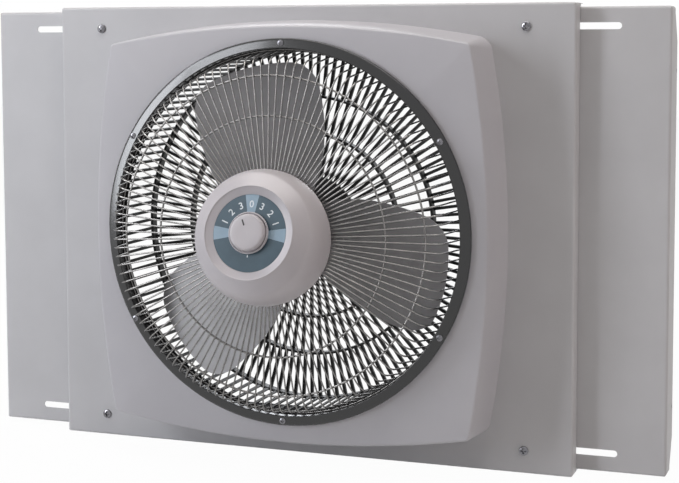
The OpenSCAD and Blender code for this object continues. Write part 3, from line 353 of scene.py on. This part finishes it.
nodeFinish = {
    "front_panel": powderCoat, "left_side_panel": powderCoat, "right_side_panel": powderCoat,
    "slide_bushings": whiteAcetal, "slide_nuts": zincPlate, "bezel_screws": zincPlate,
    "cord_grommet": blackRubber, "grille_centre_plate": creamPaint, "pod_screws": zincPlate,
    "switch_body": blackPolymer, "switch_nut": zincPlate, "switch_shaft": zincPlate,
    "capacitor": whiteAcetal, "motor_front_shell": zincPlate, "motor_rear_shell": zincPlate,
    "motor_stator": laminations, "motor_windings": copperWire, "motor_rotor": laminations,
    "motor_shaft": nickelPlate, "motor_bearings": sinteredBronze, "motor_bolts": zincPlate,
    "motor_nuts": zincPlate, "blade_spider": zincPlate, "spider_set_screw": zincPlate,
    "blade_rivets": rolledSheet, "rear_grille": blackPolymer, "basket_wall": blackPolymer,
}
for nodeName, finish in nodeFinish.items():
    for materialSlot in nodes[nodeName].material_slots:
        materialSlot.material = finish


# Bezel: depths count forward from the main panel's front, in millimetres
bezel = {
    "half": 257.4, "sideRadius": 1230.0, "depth": 68.0, "draft": 6.9, "wall": 2.5,
    "cornerBase": 20.0, "cornerFace": 6.0, "leastCorner": 0.4, "edge": 2.6, "hole": 221.6, "holeEdge": 0.8,
    "sideSteps": 48, "cornerSteps": 12, "sideRows": 8, "edgeRows": 6, "innerRows": 4,
    "bossCircle": 226.0, "bossRadius": 3.9, "bossHole": 1.7, "bossEnd": -57.2, "bossCount": 6,
    "postAt": 207.0, "postRadius": 6.0, "postHole": 2.1, "postEnd": 0, "postSides": 24,
}


def bezelOutline(depth, inset):
    # Four arcs of a very wide circle, each joined to the next by a corner arc tangent to both.
    # A point is its arc's centre plus the arc's radius times (cos f, sin f), f the normal's angle.
    share = depth / bezel["depth"]
    wide = bezel["sideRadius"] - bezel["draft"] * share - inset
    small = bezel["cornerBase"] + (bezel["cornerFace"] - bezel["cornerBase"]) * share - inset
    small = max(small, bezel["leastCorner"])
    back = bezel["half"] - bezel["sideRadius"]
    reach = wide - small
    corner = (back + math.sqrt(2 * reach * reach - back * back)) / 2
    turn = math.atan2(corner, corner - back)
    side = np.linspace(-turn, turn, bezel["sideSteps"], endpoint=False)
    bend = np.linspace(turn, math.pi / 2 - turn, bezel["cornerSteps"], endpoint=False)
    quarter = np.concatenate([
        np.stack([back + wide * np.cos(side), wide * np.sin(side)], axis=1),
        np.stack([corner + small * np.cos(bend), corner + small * np.sin(bend)], axis=1),
    ])
    x, z = quarter[:, 0], quarter[:, 1]
    return np.concatenate([quarter, np.stack([-z, x], 1), np.stack([-x, -z], 1), np.stack([z, -x], 1)])


def bezelRow(depth, inset):
    # The outline at a depth, drawn in by the inset
    outline = bezelOutline(depth, inset)
    return bezelMid + np.stack([outline[:, 0], np.full(len(outline), -depth), outline[:, 1]], axis=1)


def holeRow(depth, radius):
    # Circle about the fan's axis, each point level with the outline's point at the same number
    outline = bezelOutline(bezel["depth"], 0)
    a = np.arctan2(outline[:, 1] - (place["fanRise"] - place["bezelRise"]), outline[:, 0])
    ring = np.stack([radius * np.cos(a), np.full(len(a), -depth), radius * np.sin(a)], axis=1)
    return fanMid + ring


def bezelShell():
    # Row by row: up the outer side, round the front edge, into the hole and back down the inner side
    edge, wall, deep = bezel["edge"], bezel["wall"], bezel["depth"]
    hole, holeEdge = bezel["hole"], bezel["holeEdge"]
    rows = [bezelRow(depth, 0) for depth in np.linspace(0, deep - edge, bezel["sideRows"])]
    for step in np.linspace(0, math.pi / 2, bezel["edgeRows"])[1:]:
        rows.append(bezelRow(deep - edge + edge * math.sin(step), edge * (1 - math.cos(step))))
    rows += [holeRow(deep, hole + holeEdge), holeRow(deep - holeEdge, hole), holeRow(deep - wall, hole)]
    rows += [bezelRow(depth, wall) for depth in np.linspace(deep - wall, 0, bezel["innerRows"])]
    return np.concatenate(rows), gridFaces(len(rows), len(rows[0]), closeRows=True)


def bezelTube(middle, hole, radius, end):
    # Screw boss or post: a tube from its own end to the middle of the bezel's front wall
    face = bezel["wall"] / 2 - bezel["depth"]
    return turnedRing([(hole, end), (radius, end), (radius, face), (hole, face)], middle, bezel["postSides"])


bezelParts = [bezelShell()]
for middle in roundTheFan(bezel["bossCount"], bezel["bossCircle"]):
    bezelParts.append(bezelTube(middle, bezel["bossHole"], bezel["bossRadius"], bezel["bossEnd"]))
for middle in atCorners(bezelMid, bezel["postAt"], bezel["postAt"]):
    bezelParts.append(bezelTube(middle, bezel["postHole"], bezel["postRadius"], bezel["postEnd"]))
points, faces = joined(bezelParts)
addPiece("bezelShell", points, faces, "frame", [mouldedAbs],
         ["front_bezel", "bezel_face", "bezel_posts"])
print("bezel made")

# Rim: its pressed front is highest beside the lip and falls away outwards by 14 degrees
rim = {
    "outer": 232.0, "inner": 219.6, "front": -75.5, "back": -68.0, "lipEnd": -57.5, "metal": 1.2,
    "crest": 1.4, "shoulder": 2.6, "fall": 2.1, "edgeDrop": 1.0, "edgeDropInside": 1.9,
    "innerRound": 0.9, "crestRound": 1.0, "shoulderRound": 0.8, "edgeRound": 1.6, "around": 240,
}
front, metal = rim["front"], rim["metal"]
rimProfile = roundedProfile([
    (rim["inner"], front, rim["innerRound"]),
    (rim["inner"] + rim["crest"], front, rim["crestRound"]),
    (rim["outer"] - rim["shoulder"], front + rim["fall"], rim["shoulderRound"]),
    (rim["outer"], front + rim["fall"] + rim["edgeDrop"], rim["edgeRound"]),
    (rim["outer"], rim["back"], 0),
    (rim["outer"] - metal, rim["back"], 0),
    (rim["outer"] - metal, front + rim["fall"] + rim["edgeDropInside"], 0),
    (rim["outer"] - rim["shoulder"], front + rim["fall"] + metal, 0),
    (rim["inner"] + metal, front + metal, 0),
    (rim["inner"] + metal, rim["lipEnd"], 0),
    (rim["inner"], rim["lipEnd"], 0),
])
points, faces = turnedRing(rimProfile, fanMid, rim["around"])
addPiece("rimRing", points, faces, "frame", [blackEnamel], ["grille_rim"])


# Shape that all the screw heads share, as shares of the head's radius or height
screwHead = {
    "domeReach": 0.93, "domeFall": 0.45, "crossReach": 0.62, "sideHeight": 0.5, "rows": 13, "around": 48,
}


def screwShape(middle, screw):
    # Domed head with a cross pressed in: height = dome(r) - depth where a point lies in the cross
    count, head, high, shank = screwHead["around"], screw["head"], screw["height"], screw["shank"]
    r = np.linspace(0, head * screwHead["domeReach"], screwHead["rows"])[1:]
    a = np.linspace(0, 2 * np.pi, count, endpoint=False)
    radius, angle = np.meshgrid(r, a, indexing="ij")
    x, z = radius * np.sin(angle), radius * np.cos(angle)
    dome = high * (1 - screwHead["domeFall"] * (radius / head) ** 2)
    inCross = (np.minimum(np.abs(x), np.abs(z)) < screw["cross"]) & (radius < head * screwHead["crossReach"])
    top = np.stack([x, -(dome - screw["crossDepth"] * inCross), z], axis=-1)
    side = [(head, -high * screwHead["sideHeight"]), (head, 0), (shank, 0), (shank, screw["end"])]
    grid = np.concatenate([top, revolved(side, (0, 0, 0), count)]).reshape(-1, 3)
    rowCount, hub = len(grid) // count, len(grid)
    grid = np.concatenate([grid, [[0, screw["crossDepth"] - high, 0]]])
    last = (rowCount - 1) * count
    faces = gridFaces(rowCount, count) + [[j, (j + 1) % count, hub] for j in range(count)]
    return grid + middle, faces + [list(range(last, last + count))]


rimScrew = {
    "count": 6, "circle": 226.0, "head": 3.8, "height": 2.0, "shank": 1.6, "end": 21.1,
    "cross": 0.55, "crossDepth": 1.2, "sunk": 1.2,
}
middles = roundTheFan(rimScrew["count"], rimScrew["circle"], rim["front"] + rimScrew["sunk"])
points, faces = joined([screwShape(middle, rimScrew) for middle in middles])
addPiece("rimScrewHeads", points, faces, "frame", [dullNickel], ["rim_screws"])

cornerScrew = {
    "x": 277.8, "z": 250.6, "head": 5.5, "height": 2.8, "shank": 2.5, "end": 29.6,
    "cross": 0.8, "crossDepth": 1.9,
}
middles = atCorners(panelMid, cornerScrew["x"], cornerScrew["z"])
points, faces = joined([screwShape(middle, cornerScrew) for middle in middles])
addPiece("cornerScrewHeads", points, faces, "frame", [dullNickel], ["corner_screws"])
print("rim and screws made")

# Front grille: radii from the fan's axis and depths from the main panel's front, in millimetres
grille = {
    "wires": 120, "wireRadius": 1.0, "startR": 216.45, "startY": -60.0, "turnR": 208.0, "turnY": -109.5,
    "bend": 14.0, "crown": 5.3, "innerR": 69.5, "sides": 8, "bendSteps": 5,
    "rings": [(188.9, 1.2), (142.0, 1.2)], "edgeRing": (218.5, -62.0, 1.0), "weldGap": 0.05,
    "ringSides": 12, "ringAround": 200,
}


def wireDepth(r):
    # Depth of a radial wire's middle line, which rises evenly from its turn to its inner end
    return grille["turnY"] - grille["crown"] * (grille["turnR"] - r) / (grille["turnR"] - grille["innerR"])


def radialWires():
    # Middle line: from the foot straight out to an arc, then straight in. A point is the line's point
    # plus the wire's radius times (cos q * normal + sin q * round), turned to the wire's clock angle.
    start, turn = (grille["startR"], grille["startY"]), (grille["turnR"], grille["turnY"])
    end = (grille["innerR"], wireDepth(grille["innerR"]))
    line = np.array([start] + fillet(turn, start, end, grille["bend"], grille["bendSteps"]) + [end])
    along = np.gradient(line, axis=0)
    along /= np.linalg.norm(along, axis=1, keepdims=True)
    normal = np.stack([-along[:, 1], along[:, 0]], axis=1)
    q = np.linspace(0, 2 * np.pi, grille["sides"], endpoint=False)
    r = line[:, None, 0] + grille["wireRadius"] * np.cos(q) * normal[:, None, 0]
    y = line[:, None, 1] + grille["wireRadius"] * np.cos(q) * normal[:, None, 1]
    side = np.broadcast_to(grille["wireRadius"] * np.sin(q), r.shape)
    a = np.linspace(0, 2 * np.pi, grille["wires"], endpoint=False)[:, None, None]
    x = r * np.sin(a) + side * np.cos(a)
    z = r * np.cos(a) - side * np.sin(a)
    points = fanMid + np.stack([x, np.broadcast_to(y, x.shape), z], axis=-1).reshape(-1, 3)
    rows, sides = r.shape
    one = np.array(gridFaces(rows, sides))
    starts = np.arange(grille["wires"]) * rows * sides
    quads = (one[None] + starts[:, None, None]).reshape(-1, 4).tolist()
    caps = [[s + j for j in range(sides)] for s in starts.tolist()]
    caps += [[s + (rows - 1) * sides + j for j in range(sides)] for s in starts.tolist()]
    return points, quads + caps


points, faces = radialWires()
addPiece("radialWires", points, faces, "frame", [platedWire],
         ["grille_radial_wires", "grille_wire_legs"], sharp=50)

ringParts = []
sections = [(r, wireDepth(r) + grille["wireRadius"] + w + grille["weldGap"], w) for r, w in grille["rings"]]
for r, y, w in sections + [grille["edgeRing"]]:
    t = np.linspace(0, 2 * np.pi, grille["ringSides"], endpoint=False)
    loop = np.stack([r + w * np.cos(t), y + w * np.sin(t)], axis=1)
    ringParts.append(turnedRing(loop, fanMid, grille["ringAround"]))
points, faces = joined(ringParts)
addPiece("ringWires", points, faces, "frame", [platedWire], ["grille_ring_wires"], sharp=50)
print("front grille made")

# Pod: radii about its own tilted axis and heights above its foot, in millimetres
pod = {
    "belly": 79.4, "bellyAt": 17.5, "lipAt": 64.3, "lipR": 54.0, "crease": 71.0, "wall": 2.5, "around": 240,
    "startAngle": -50, "creaseShort": 3, "outsideSteps": 30, "insideSteps": 26,
    "creaseEase": (0.4, 0.1), "ridge": (0.3, 0.2), "shoulderSteps": (0.12, 0.5, 1),
    "lipRoll": 1.2, "rollAngle": 75, "rollSteps": 8, "lipThick": 4.0, "seatGap": 0.2,
    "dialR": 44.4, "dialFace": 60.1, "dialThick": 1.2, "dialPlay": 0.3, "dialGap": 0.1,
    "ledgeEdge": (0.4, 0.1), "shelfIn": 5, "shelfOut": 2.5, "shelfThick": 1.8,
    "posts": 3, "postCircle": 63.0, "postRadius": 4.0, "postHole": 1.6, "postEnds": (-113.6, -140.0),
    "postSides": 20,
}


def podProfile():
    # Outside: ellipse from the seat to just short of the crease, a straight shoulder up to the
    # lip, and the lip rolled inwards; then the dial's ledge and shelf; inside: the same ellipse
    # less the wall
    lipR, lipAt, bellyAt, roll = pod["lipR"], pod["lipAt"], pod["bellyAt"], pod["lipRoll"]
    wide, high = pod["belly"] - lipR, lipAt - bellyAt
    creaseAngle = math.degrees(math.acos((pod["crease"] - lipR) / wide))
    t = np.radians(np.linspace(pod["startAngle"], creaseAngle - pod["creaseShort"], pod["outsideSteps"]))
    outside = np.stack([lipR + wide * np.cos(t), bellyAt + high * np.sin(t)], axis=1)
    corner = [pod["crease"], bellyAt + high * math.sin(math.radians(creaseAngle))]
    ridge = [lipR + pod["ridge"][0], lipAt - pod["ridge"][1]]
    shoulder = [[corner[0] - pod["creaseEase"][0], corner[1] + pod["creaseEase"][1]]]
    shoulder += [[c + (e - c) * u for c, e in zip(corner, ridge)] for u in pod["shoulderSteps"]]
    q = np.radians(np.linspace(0, pod["rollAngle"], pod["rollSteps"]))
    lip = np.stack([lipR - roll * np.sin(q), lipAt - roll * (1 - np.cos(q))], axis=1)
    ledge, face = pod["dialR"] + pod["dialPlay"], pod["dialFace"]
    under = face - pod["dialThick"] - pod["dialGap"]
    low = under - pod["shelfThick"]
    shelf = [
        [ledge + pod["ledgeEdge"][0], face + pod["ledgeEdge"][1]], [ledge, face], [ledge, under],
        [ledge - pod["shelfIn"], under], [ledge - pod["shelfIn"], low], [ledge + pod["shelfOut"], low],
        [lipR, lipAt - pod["lipThick"]],
    ]
    t = np.radians(np.linspace(creaseAngle, pod["startAngle"], pod["insideSteps"]))
    wide, high = wide - pod["wall"], high - pod["wall"]
    inside = np.stack([lipR + wide * np.cos(t), bellyAt + high * np.sin(t)], axis=1)
    return np.concatenate([outside, shoulder, lip, shelf, inside])


profile = podProfile()
podPoints = revolved(profile, podFoot, pod["around"], axis=podAxis, up=podUp)
# Everything behind the seat is drawn forward onto it, so that the bowl ends in the seat's plane
seatDepth = wireDepth(grille["innerR"]) - grille["wireRadius"] - pod["seatGap"]
podPoints[..., 1] = np.minimum(podPoints[..., 1], fanMid[1] + seatDepth)
podParts = [(podPoints.reshape(-1, 3), gridFaces(len(profile), pod["around"], closeRows=True))]
(back, tip), hole, radius = pod["postEnds"], pod["postHole"], pod["postRadius"]
post = [(hole, back), (radius, back), (radius, tip), (hole, tip)]
middles = roundTheFan(pod["posts"], pod["postCircle"])
podParts += [turnedRing(post, middle, pod["postSides"]) for middle in middles]
points, faces = joined(podParts)
addPiece("podBowl", points, faces, "frame", [podAbs], ["pod_housing"], sharp=30)

# Dial: angles in degrees from the top; the second ring carries the small tick at the bottom
dial = {
    "radii": [5.3, 24.6, 27.6, 43.8, 44.4], "paleHalf": 11, "paleSide": (81, 102), "tickHalf": 1,
    "numbers": ["1", "2", "3", "0", "3", "2", "1"], "numberCircle": 33.4, "numberStep": 23,
    "numberSize": 11.07, "numberSpread": 0.16, "numberThick": 0.06,
}


def dialAt(x, z, lift):
    # Place on the dial's plane: x to the right, z up, lift out of the pod
    x, z, lift = np.broadcast_arrays(np.asarray(x, float), np.asarray(z, float), np.asarray(lift, float))
    return podFoot + x[..., None] * sideways + z[..., None] * podUp + lift[..., None] * podAxis


def dialDisc():
    # Point (i, j) = radius i at j degrees clockwise from the top, then the same ring at the back
    degrees = np.arange(360)
    radii = np.array(dial["radii"])
    radius, angle = np.meshgrid(radii, np.radians(degrees), indexing="ij")
    x, z = radius * np.sin(angle), radius * np.cos(angle)
    face, low = pod["dialFace"], pod["dialFace"] - pod["dialThick"]
    rows = np.concatenate([dialAt(x, z, face), dialAt(x[-1:], z[-1:], low), dialAt(x[:1], z[:1], low)])
    faces = gridFaces(len(rows), len(degrees), closeRows=True)
    fromTop = np.abs((degrees + 0.5 + 180) % 360 - 180)
    sideFrom, sideTo = dial["paleSide"]
    pale = (fromTop < dial["paleHalf"]) | ((fromTop > sideFrom) & (fromTop < sideTo))
    picks = np.zeros((len(rows), len(degrees)), np.int32)
    picks[:len(radii) - 1] = pale
    picks[1] = np.where(fromTop > 180 - dial["tickHalf"], 2, picks[1])
    return rows.reshape(-1, 3), faces, picks.reshape(-1)


points, faces, picks = dialDisc()
addPiece("dialDisc", points, faces, "frame", [tealInk, paleInk, whiteInk], ["dial_plate"],
         tidy=False, picks=picks)


def dialNumbers():
    # Each number is set flat, then turned to its clock angle with its foot towards the middle
    parts = []
    middle = (len(dial["numbers"]) - 1) / 2
    for k, text in enumerate(dial["numbers"]):
        curve = bpy.data.curves.new("numberCurve", "FONT")
        curve.body = text
        curve.size = dial["numberSize"]
        curve.offset = dial["numberSpread"]
        curve.extrude = dial["numberThick"]
        curve.align_x = "CENTER"
        curve.align_y = "CENTER"
        helper = bpy.data.objects.new("numberHelper", curve)
        scene.collection.objects.link(helper)
        bpy.context.view_layer.update()
        flat = bpy.data.meshes.new_from_object(helper.evaluated_get(bpy.context.evaluated_depsgraph_get()))
        spots = np.zeros(len(flat.vertices) * 3)
        flat.vertices.foreach_get("co", spots)
        spots = spots.reshape(-1, 3)
        spots[:, :2] -= (spots[:, :2].min(0) + spots[:, :2].max(0)) / 2
        a = math.radians((k - middle) * dial["numberStep"])
        out = spots[:, 1] + dial["numberCircle"]
        x = spots[:, 0] * math.cos(a) + out * math.sin(a)
        z = out * math.cos(a) - spots[:, 0] * math.sin(a)
        lift = pod["dialFace"] + dial["numberThick"] + spots[:, 2]
        parts.append((dialAt(x, z, lift), [list(p.vertices) for p in flat.polygons]))
        bpy.data.objects.remove(helper)
        bpy.data.meshes.remove(flat)
        bpy.data.curves.remove(curve)
    return joined(parts)


points, faces = dialNumbers()
addPiece("dialNumbers", points, faces, "frame", [whiteInk])

# Knob: radii about the dial's axis; a shallow groove parts the cap from its flange
knob = {
    "foot": 60.7, "height": 9.0, "face": 21.0, "faceRound": 3.0,
    "flatShare": 0.6, "faceFall": 0.03, "dish": 0.1,
    "body": 21.6, "groove": 2.2, "grooveFoot": 1.0, "grooveTop": 1.1, "grooveRound": 0.3,
    "flange": 24.0, "flangeHeight": 4.0, "flangeRound": 0.8, "footRound": 0.5,
    "socket": 6.5, "nutHole": 9.0, "nutDepth": 5.0, "shaftHole": 3.02, "axisGap": 0.01, "around": 128,
    "restAngle": 23.0, "notch": (8.0, 15.5), "notchHalf": 0.95, "notchSides": 24,
    "notchSunk": 0.4, "notchProud": 0.05,
}
foot, top = knob["foot"], knob["foot"] + knob["height"]
flangeTop = foot + knob["flangeHeight"]
knobProfile = roundedProfile([
    (knob["shaftHole"], foot + knob["socket"], 0),
    (knob["axisGap"], foot + knob["socket"], 0),
    (knob["axisGap"], top - knob["dish"], 0),
    (knob["face"] * knob["flatShare"], top - knob["faceFall"], 0),
    (knob["face"], top, knob["faceRound"]),
    (knob["body"], flangeTop - knob["groove"], 0),
    (knob["body"] + knob["grooveFoot"], flangeTop - knob["groove"], 0),
    (knob["body"] + knob["grooveTop"], flangeTop, knob["grooveRound"]),
    (knob["flange"], flangeTop, knob["flangeRound"]),
    (knob["flange"], foot, knob["footRound"]),
    (knob["nutHole"], foot, 0),
    (knob["nutHole"], foot + knob["nutDepth"], 0),
    (knob["shaftHole"], foot + knob["nutDepth"], 0),
])
points, faces = turnedRing(knobProfile, podFoot, knob["around"], axis=podAxis, up=podUp)
addPiece("knobCap", points, faces, "knob", [podAbs], ["control_knob"], sharp=30)


def knobNotch():
    # Flat bar with round ends in the notch's painted shade: an oval loop at two heights, turned to where the
    # knob rests
    count, half, (near, far) = knob["notchSides"], knob["notchHalf"], knob["notch"]
    t = np.linspace(0, 2 * np.pi, count, endpoint=False)
    mid, run = (near + far) / 2, (far - near) / 2 - half
    x, z = half * np.cos(t), mid + half * np.sin(t) + run * np.sign(np.sin(t))
    a = math.radians(-knob["restAngle"])
    across, out = x * math.cos(a) + z * math.sin(a), z * math.cos(a) - x * math.sin(a)
    loops = [dialAt(across, out, top - knob["notchSunk"]), dialAt(across, out, top + knob["notchProud"])]
    return np.concatenate(loops), gridFaces(2, count) + [list(range(count)), list(range(count, 2 * count))]


points, faces = knobNotch()
# The knob's notch is drawn as a flat bar whose dark colour is painted shade
addPiece("knobNotchShade", points, faces, "knob", [notchShadePaint])
print("pod, dial and knob made")

# Propeller: both edges are angles that change with the radius, in degrees and millimetres
blades = {
    "count": 3, "tip": 203.0, "root": 44.0, "sheet": 1.5, "front": 72.0, "back": 28.0,
    "tipCorner": 25.0, "rootCorner": 12.0, "flatReach": 74.0, "across": 28,
    "rootSteps": 8, "middleSteps": 26, "tipSteps": 12,
    "frontAngle": 61, "frontTurn": 0.29, "frontCurl": 0.00062, "turnFrom": 83,
    "rearTurn": 0.143, "rearAngle": 35.3,
}


def bladeEdges(r):
    # front = angle - turn * d + curl * d squared, with d = r - turnFrom; rear = turn * r - angle
    d = r - blades["turnFrom"]
    front = blades["frontAngle"] - blades["frontTurn"] * d + blades["frontCurl"] * d ** 2
    return front, blades["rearTurn"] * r - blades["rearAngle"]


def bladeShape():
    # Point at radius r and share u between the rear and front edges: angle = rear + (front - rear) * u,
    # and depth falls evenly with the arc length from the front edge to the rear edge
    rootTurn = np.linspace(0, np.pi / 2, blades["rootSteps"])
    tipTurn = np.linspace(0, np.pi / 2, blades["tipSteps"])
    near = blades["root"] + blades["rootCorner"] * (1 - np.cos(rootTurn))
    far = blades["tip"] - blades["tipCorner"] * (1 - np.sin(tipTurn))
    between = np.linspace(near[-1], far[0], blades["middleSteps"])[1:-1]
    r = np.concatenate([near, between, far])[:, None]
    frontEdge, rearEdge = bladeEdges(r)

    def cornerInset(end, c):
        # How far a rounded corner of radius c draws an edge in near that end
        d = np.clip(c - np.abs(r - end), 0, c)
        return c - np.sqrt(c * c - d * d)

    inset = np.degrees((cornerInset(blades["tip"], blades["tipCorner"])
                        + cornerInset(blades["root"], blades["rootCorner"])) / r)
    low, high = rearEdge + inset, frontEdge - inset
    flatR = np.maximum(r, blades["flatReach"])
    flatFront, flatRear = bladeEdges(flatR)
    slope = (blades["front"] - blades["back"]) / np.radians(flatR * (flatFront - flatRear))
    u = np.linspace(0, 1, blades["across"])[None]
    angle = low + (high - low) * u
    middle = -(blades["front"] + blades["back"]) / 2
    turned = np.radians(angle - (flatFront + flatRear) / 2)
    y = middle - slope * r * np.where(r <= blades["flatReach"], np.sin(turned), turned)
    half = blades["sheet"] / 2
    flatFace = [r * np.cos(np.radians(angle)), r * np.sin(np.radians(angle))]
    layers = [np.stack([flatFace[0], y + lift, flatFace[1]], axis=-1) for lift in (-half, half)]
    loop = np.concatenate([layers[0], layers[1][:, ::-1]], axis=1)
    rows, cols = loop.shape[:2]
    faces = gridFaces(rows, cols)
    for i in (0, rows - 1):
        faces += [[i * cols + j, i * cols + j + 1, i * cols + cols - 2 - j, i * cols + cols - 1 - j]
                  for j in range(cols // 2 - 1)]
    return loop.reshape(-1, 3), faces


oneBlade, bladeFaces = bladeShape()
bladeParts = []
for number in range(blades["count"]):
    # Local X is turned to straight up, then on by a third of a turn for each blade
    a = math.radians(-90 - number * 360 / blades["count"])
    c, s = math.cos(a), math.sin(a)
    turned = np.stack([c * oneBlade[:, 0] + s * oneBlade[:, 2], oneBlade[:, 1],
                       c * oneBlade[:, 2] - s * oneBlade[:, 0]], axis=1)
    bladeParts.append((turned + fanMid, bladeFaces))
points, faces = joined(bladeParts)
addPiece("bladeSet", points, faces, "propeller", [rolledSheet], ["fan_blades"])
print("propeller made")

# Floor and light, in metres and watts; the kicker only shows in the rim's gloss
studio = {
    "floorHalf": 9.0, "floorDrop": 0.0006, "floorGrey": "#e4e4e4", "floorWhite": 0.97,
    "worldGrey": "#b9bbc0", "worldStrength": 0.03, "lookAt": (0.0, -0.06, 0.29),
}
lamps = {
    "key": {"colour": "#f6f9ff", "power": 36.0, "at": (-1.9, -1.55, 0.95), "size": (0.55, 1.75)},
    "right": {"colour": "#fff4ee", "power": 9.6, "at": (1.9, -0.6, 0.8), "size": (0.8, 1.4), "glossy": False},
    "top": {"colour": "#fffbf7", "power": 21.0, "at": (-0.1, -0.3, 1.9), "size": (2.0, 0.5)},
    "back": {"colour": "#f6f9ff", "power": 34, "at": (-0.6, 2.2, 1.3), "size": (1.6, 1.2)},
    "kicker": {
        "colour": "#f6f9ff", "power": 11, "at": (-1.35, -1.9, 1.4), "size": (0.6, 0.7), "diffuse": False,
    },
}
half, drop = studio["floorHalf"], studio["floorDrop"]
corners = [(half * x, half * y, -drop) for x, y in ((-1, -1), (1, -1), (1, 1), (-1, 1))]
floorMesh = bpy.data.meshes.new("floor")
floorMesh.from_pydata(corners, [], [range(len(corners))])
floor = bpy.data.objects.new("floor", floorMesh)
scene.collection.objects.link(floor)


def whiteRoomShare(tree, share):
    # The share for camera, glossy and transmission rays, which see the white room, and 0 for all others
    rays = addNode(tree, "LightPath").outputs
    seen = rays["Is Camera Ray"]
    for kind in ("Is Glossy Ray", "Is Transmission Ray"):
        either = addNode(tree, "Math", settings={"operation": "MAXIMUM"}, links={0: seen, 1: rays[kind]})
        seen = either.outputs["Value"]
    scaled = addNode(tree, "Math", settings={"operation": "MULTIPLY"}, values={1: share}, links={0: seen})
    return scaled.outputs["Value"]


def whiteMix(tree, plain, white, share):
    # Plain shader for the light that falls on the fan, white for the rays that see the room
    return addNode(tree, "MixShader", links={
        "Fac": whiteRoomShare(tree, share), 1: plain.outputs[0], 2: white.outputs[0],
    }).outputs["Shader"]


floorPaint = bpy.data.materials.new("whiteStudioFloor")
floorPaint.use_nodes = True
tree = floorPaint.node_tree
tree.nodes.clear()
matt = addNode(tree, "BsdfDiffuse", values={"Color": linearColour(studio["floorGrey"])})
glow = addNode(tree, "Emission", values={"Color": (1, 1, 1, 1), "Strength": 1.0})
addNode(tree, "OutputMaterial", links={"Surface": whiteMix(tree, matt, glow, studio["floorWhite"])})
floorMesh.materials.append(floorPaint)

world = bpy.data.worlds.new("studioWorld")
scene.world = world
world.use_nodes = True
tree = world.node_tree
tree.nodes.clear()
dim = addNode(tree, "Background", values={
    "Color": linearColour(studio["worldGrey"]), "Strength": studio["worldStrength"],
})
white = addNode(tree, "Background", values={"Color": (1, 1, 1, 1), "Strength": 1.0})
addNode(tree, "OutputWorld", links={"Surface": whiteMix(tree, dim, white, 1.0)})


def softbox(name, light):
    # A rectangle of light that faces the fan: its own Z runs from the target to the lamp
    data = bpy.data.lights.new(name, "AREA")
    data.shape = "RECTANGLE"
    data.size, data.size_y = light["size"]
    data.energy = light["power"]
    data.color = linearColour(light["colour"])[:3]
    lamp = bpy.data.objects.new(name, data)
    lamp.visible_camera = False
    lamp.visible_glossy = light.get("glossy", True)
    lamp.visible_diffuse = light.get("diffuse", True)
    scene.collection.objects.link(lamp)
    at = np.array(light["at"])
    back = at - np.array(studio["lookAt"])
    back /= np.linalg.norm(back)
    right = np.cross([0, 0, 1], back)
    right /= np.linalg.norm(right)
    up = np.cross(back, right)
    lamp.matrix_world = placedMatrix(right, up, back, at)


for name, light in lamps.items():
    softbox(name + "Softbox", light)

# Camera solved from the panel's edges and the grille's circles
view = {
    "yaw": 20.195, "pitch": 4.547, "roll": -0.177, "at": (700.5, -1779.6, 232.9), "sensorWidth": 36.0,
    "focalPixels": 1559.95, "widthPixels": 679, "heightPixels": 483, "principal": (339.2, 166.0),
}
yaw, pitch, roll = (math.radians(view[key]) for key in ("yaw", "pitch", "roll"))
forward = np.array([-math.sin(yaw) * math.cos(pitch), math.cos(yaw) * math.cos(pitch), -math.sin(pitch)])
levelRight = np.array([math.cos(yaw), math.sin(yaw), 0])
levelUp = np.cross(levelRight, forward)
cameraRight = math.cos(roll) * levelRight + math.sin(roll) * levelUp
cameraUp = -math.sin(roll) * levelRight + math.cos(roll) * levelUp
cameraAt = (np.array(view["at"]) + panelMid) * mm
cameraData = bpy.data.cameras.new("photoCamera")
cameraData.sensor_fit = "HORIZONTAL"
cameraData.sensor_width = view["sensorWidth"]
cameraData.lens = view["focalPixels"] / view["widthPixels"] * view["sensorWidth"]
cameraData.shift_x = (view["widthPixels"] / 2 - view["principal"][0]) / view["widthPixels"]
cameraData.shift_y = (view["principal"][1] - view["heightPixels"] / 2) / view["widthPixels"]
camera = bpy.data.objects.new("photoCamera", cameraData)
scene.collection.objects.link(camera)
camera.matrix_world = placedMatrix(cameraRight, cameraUp, -forward, cameraAt)
scene.camera = camera
scene.view_settings.view_transform = "Standard"
print("studio and camera made")
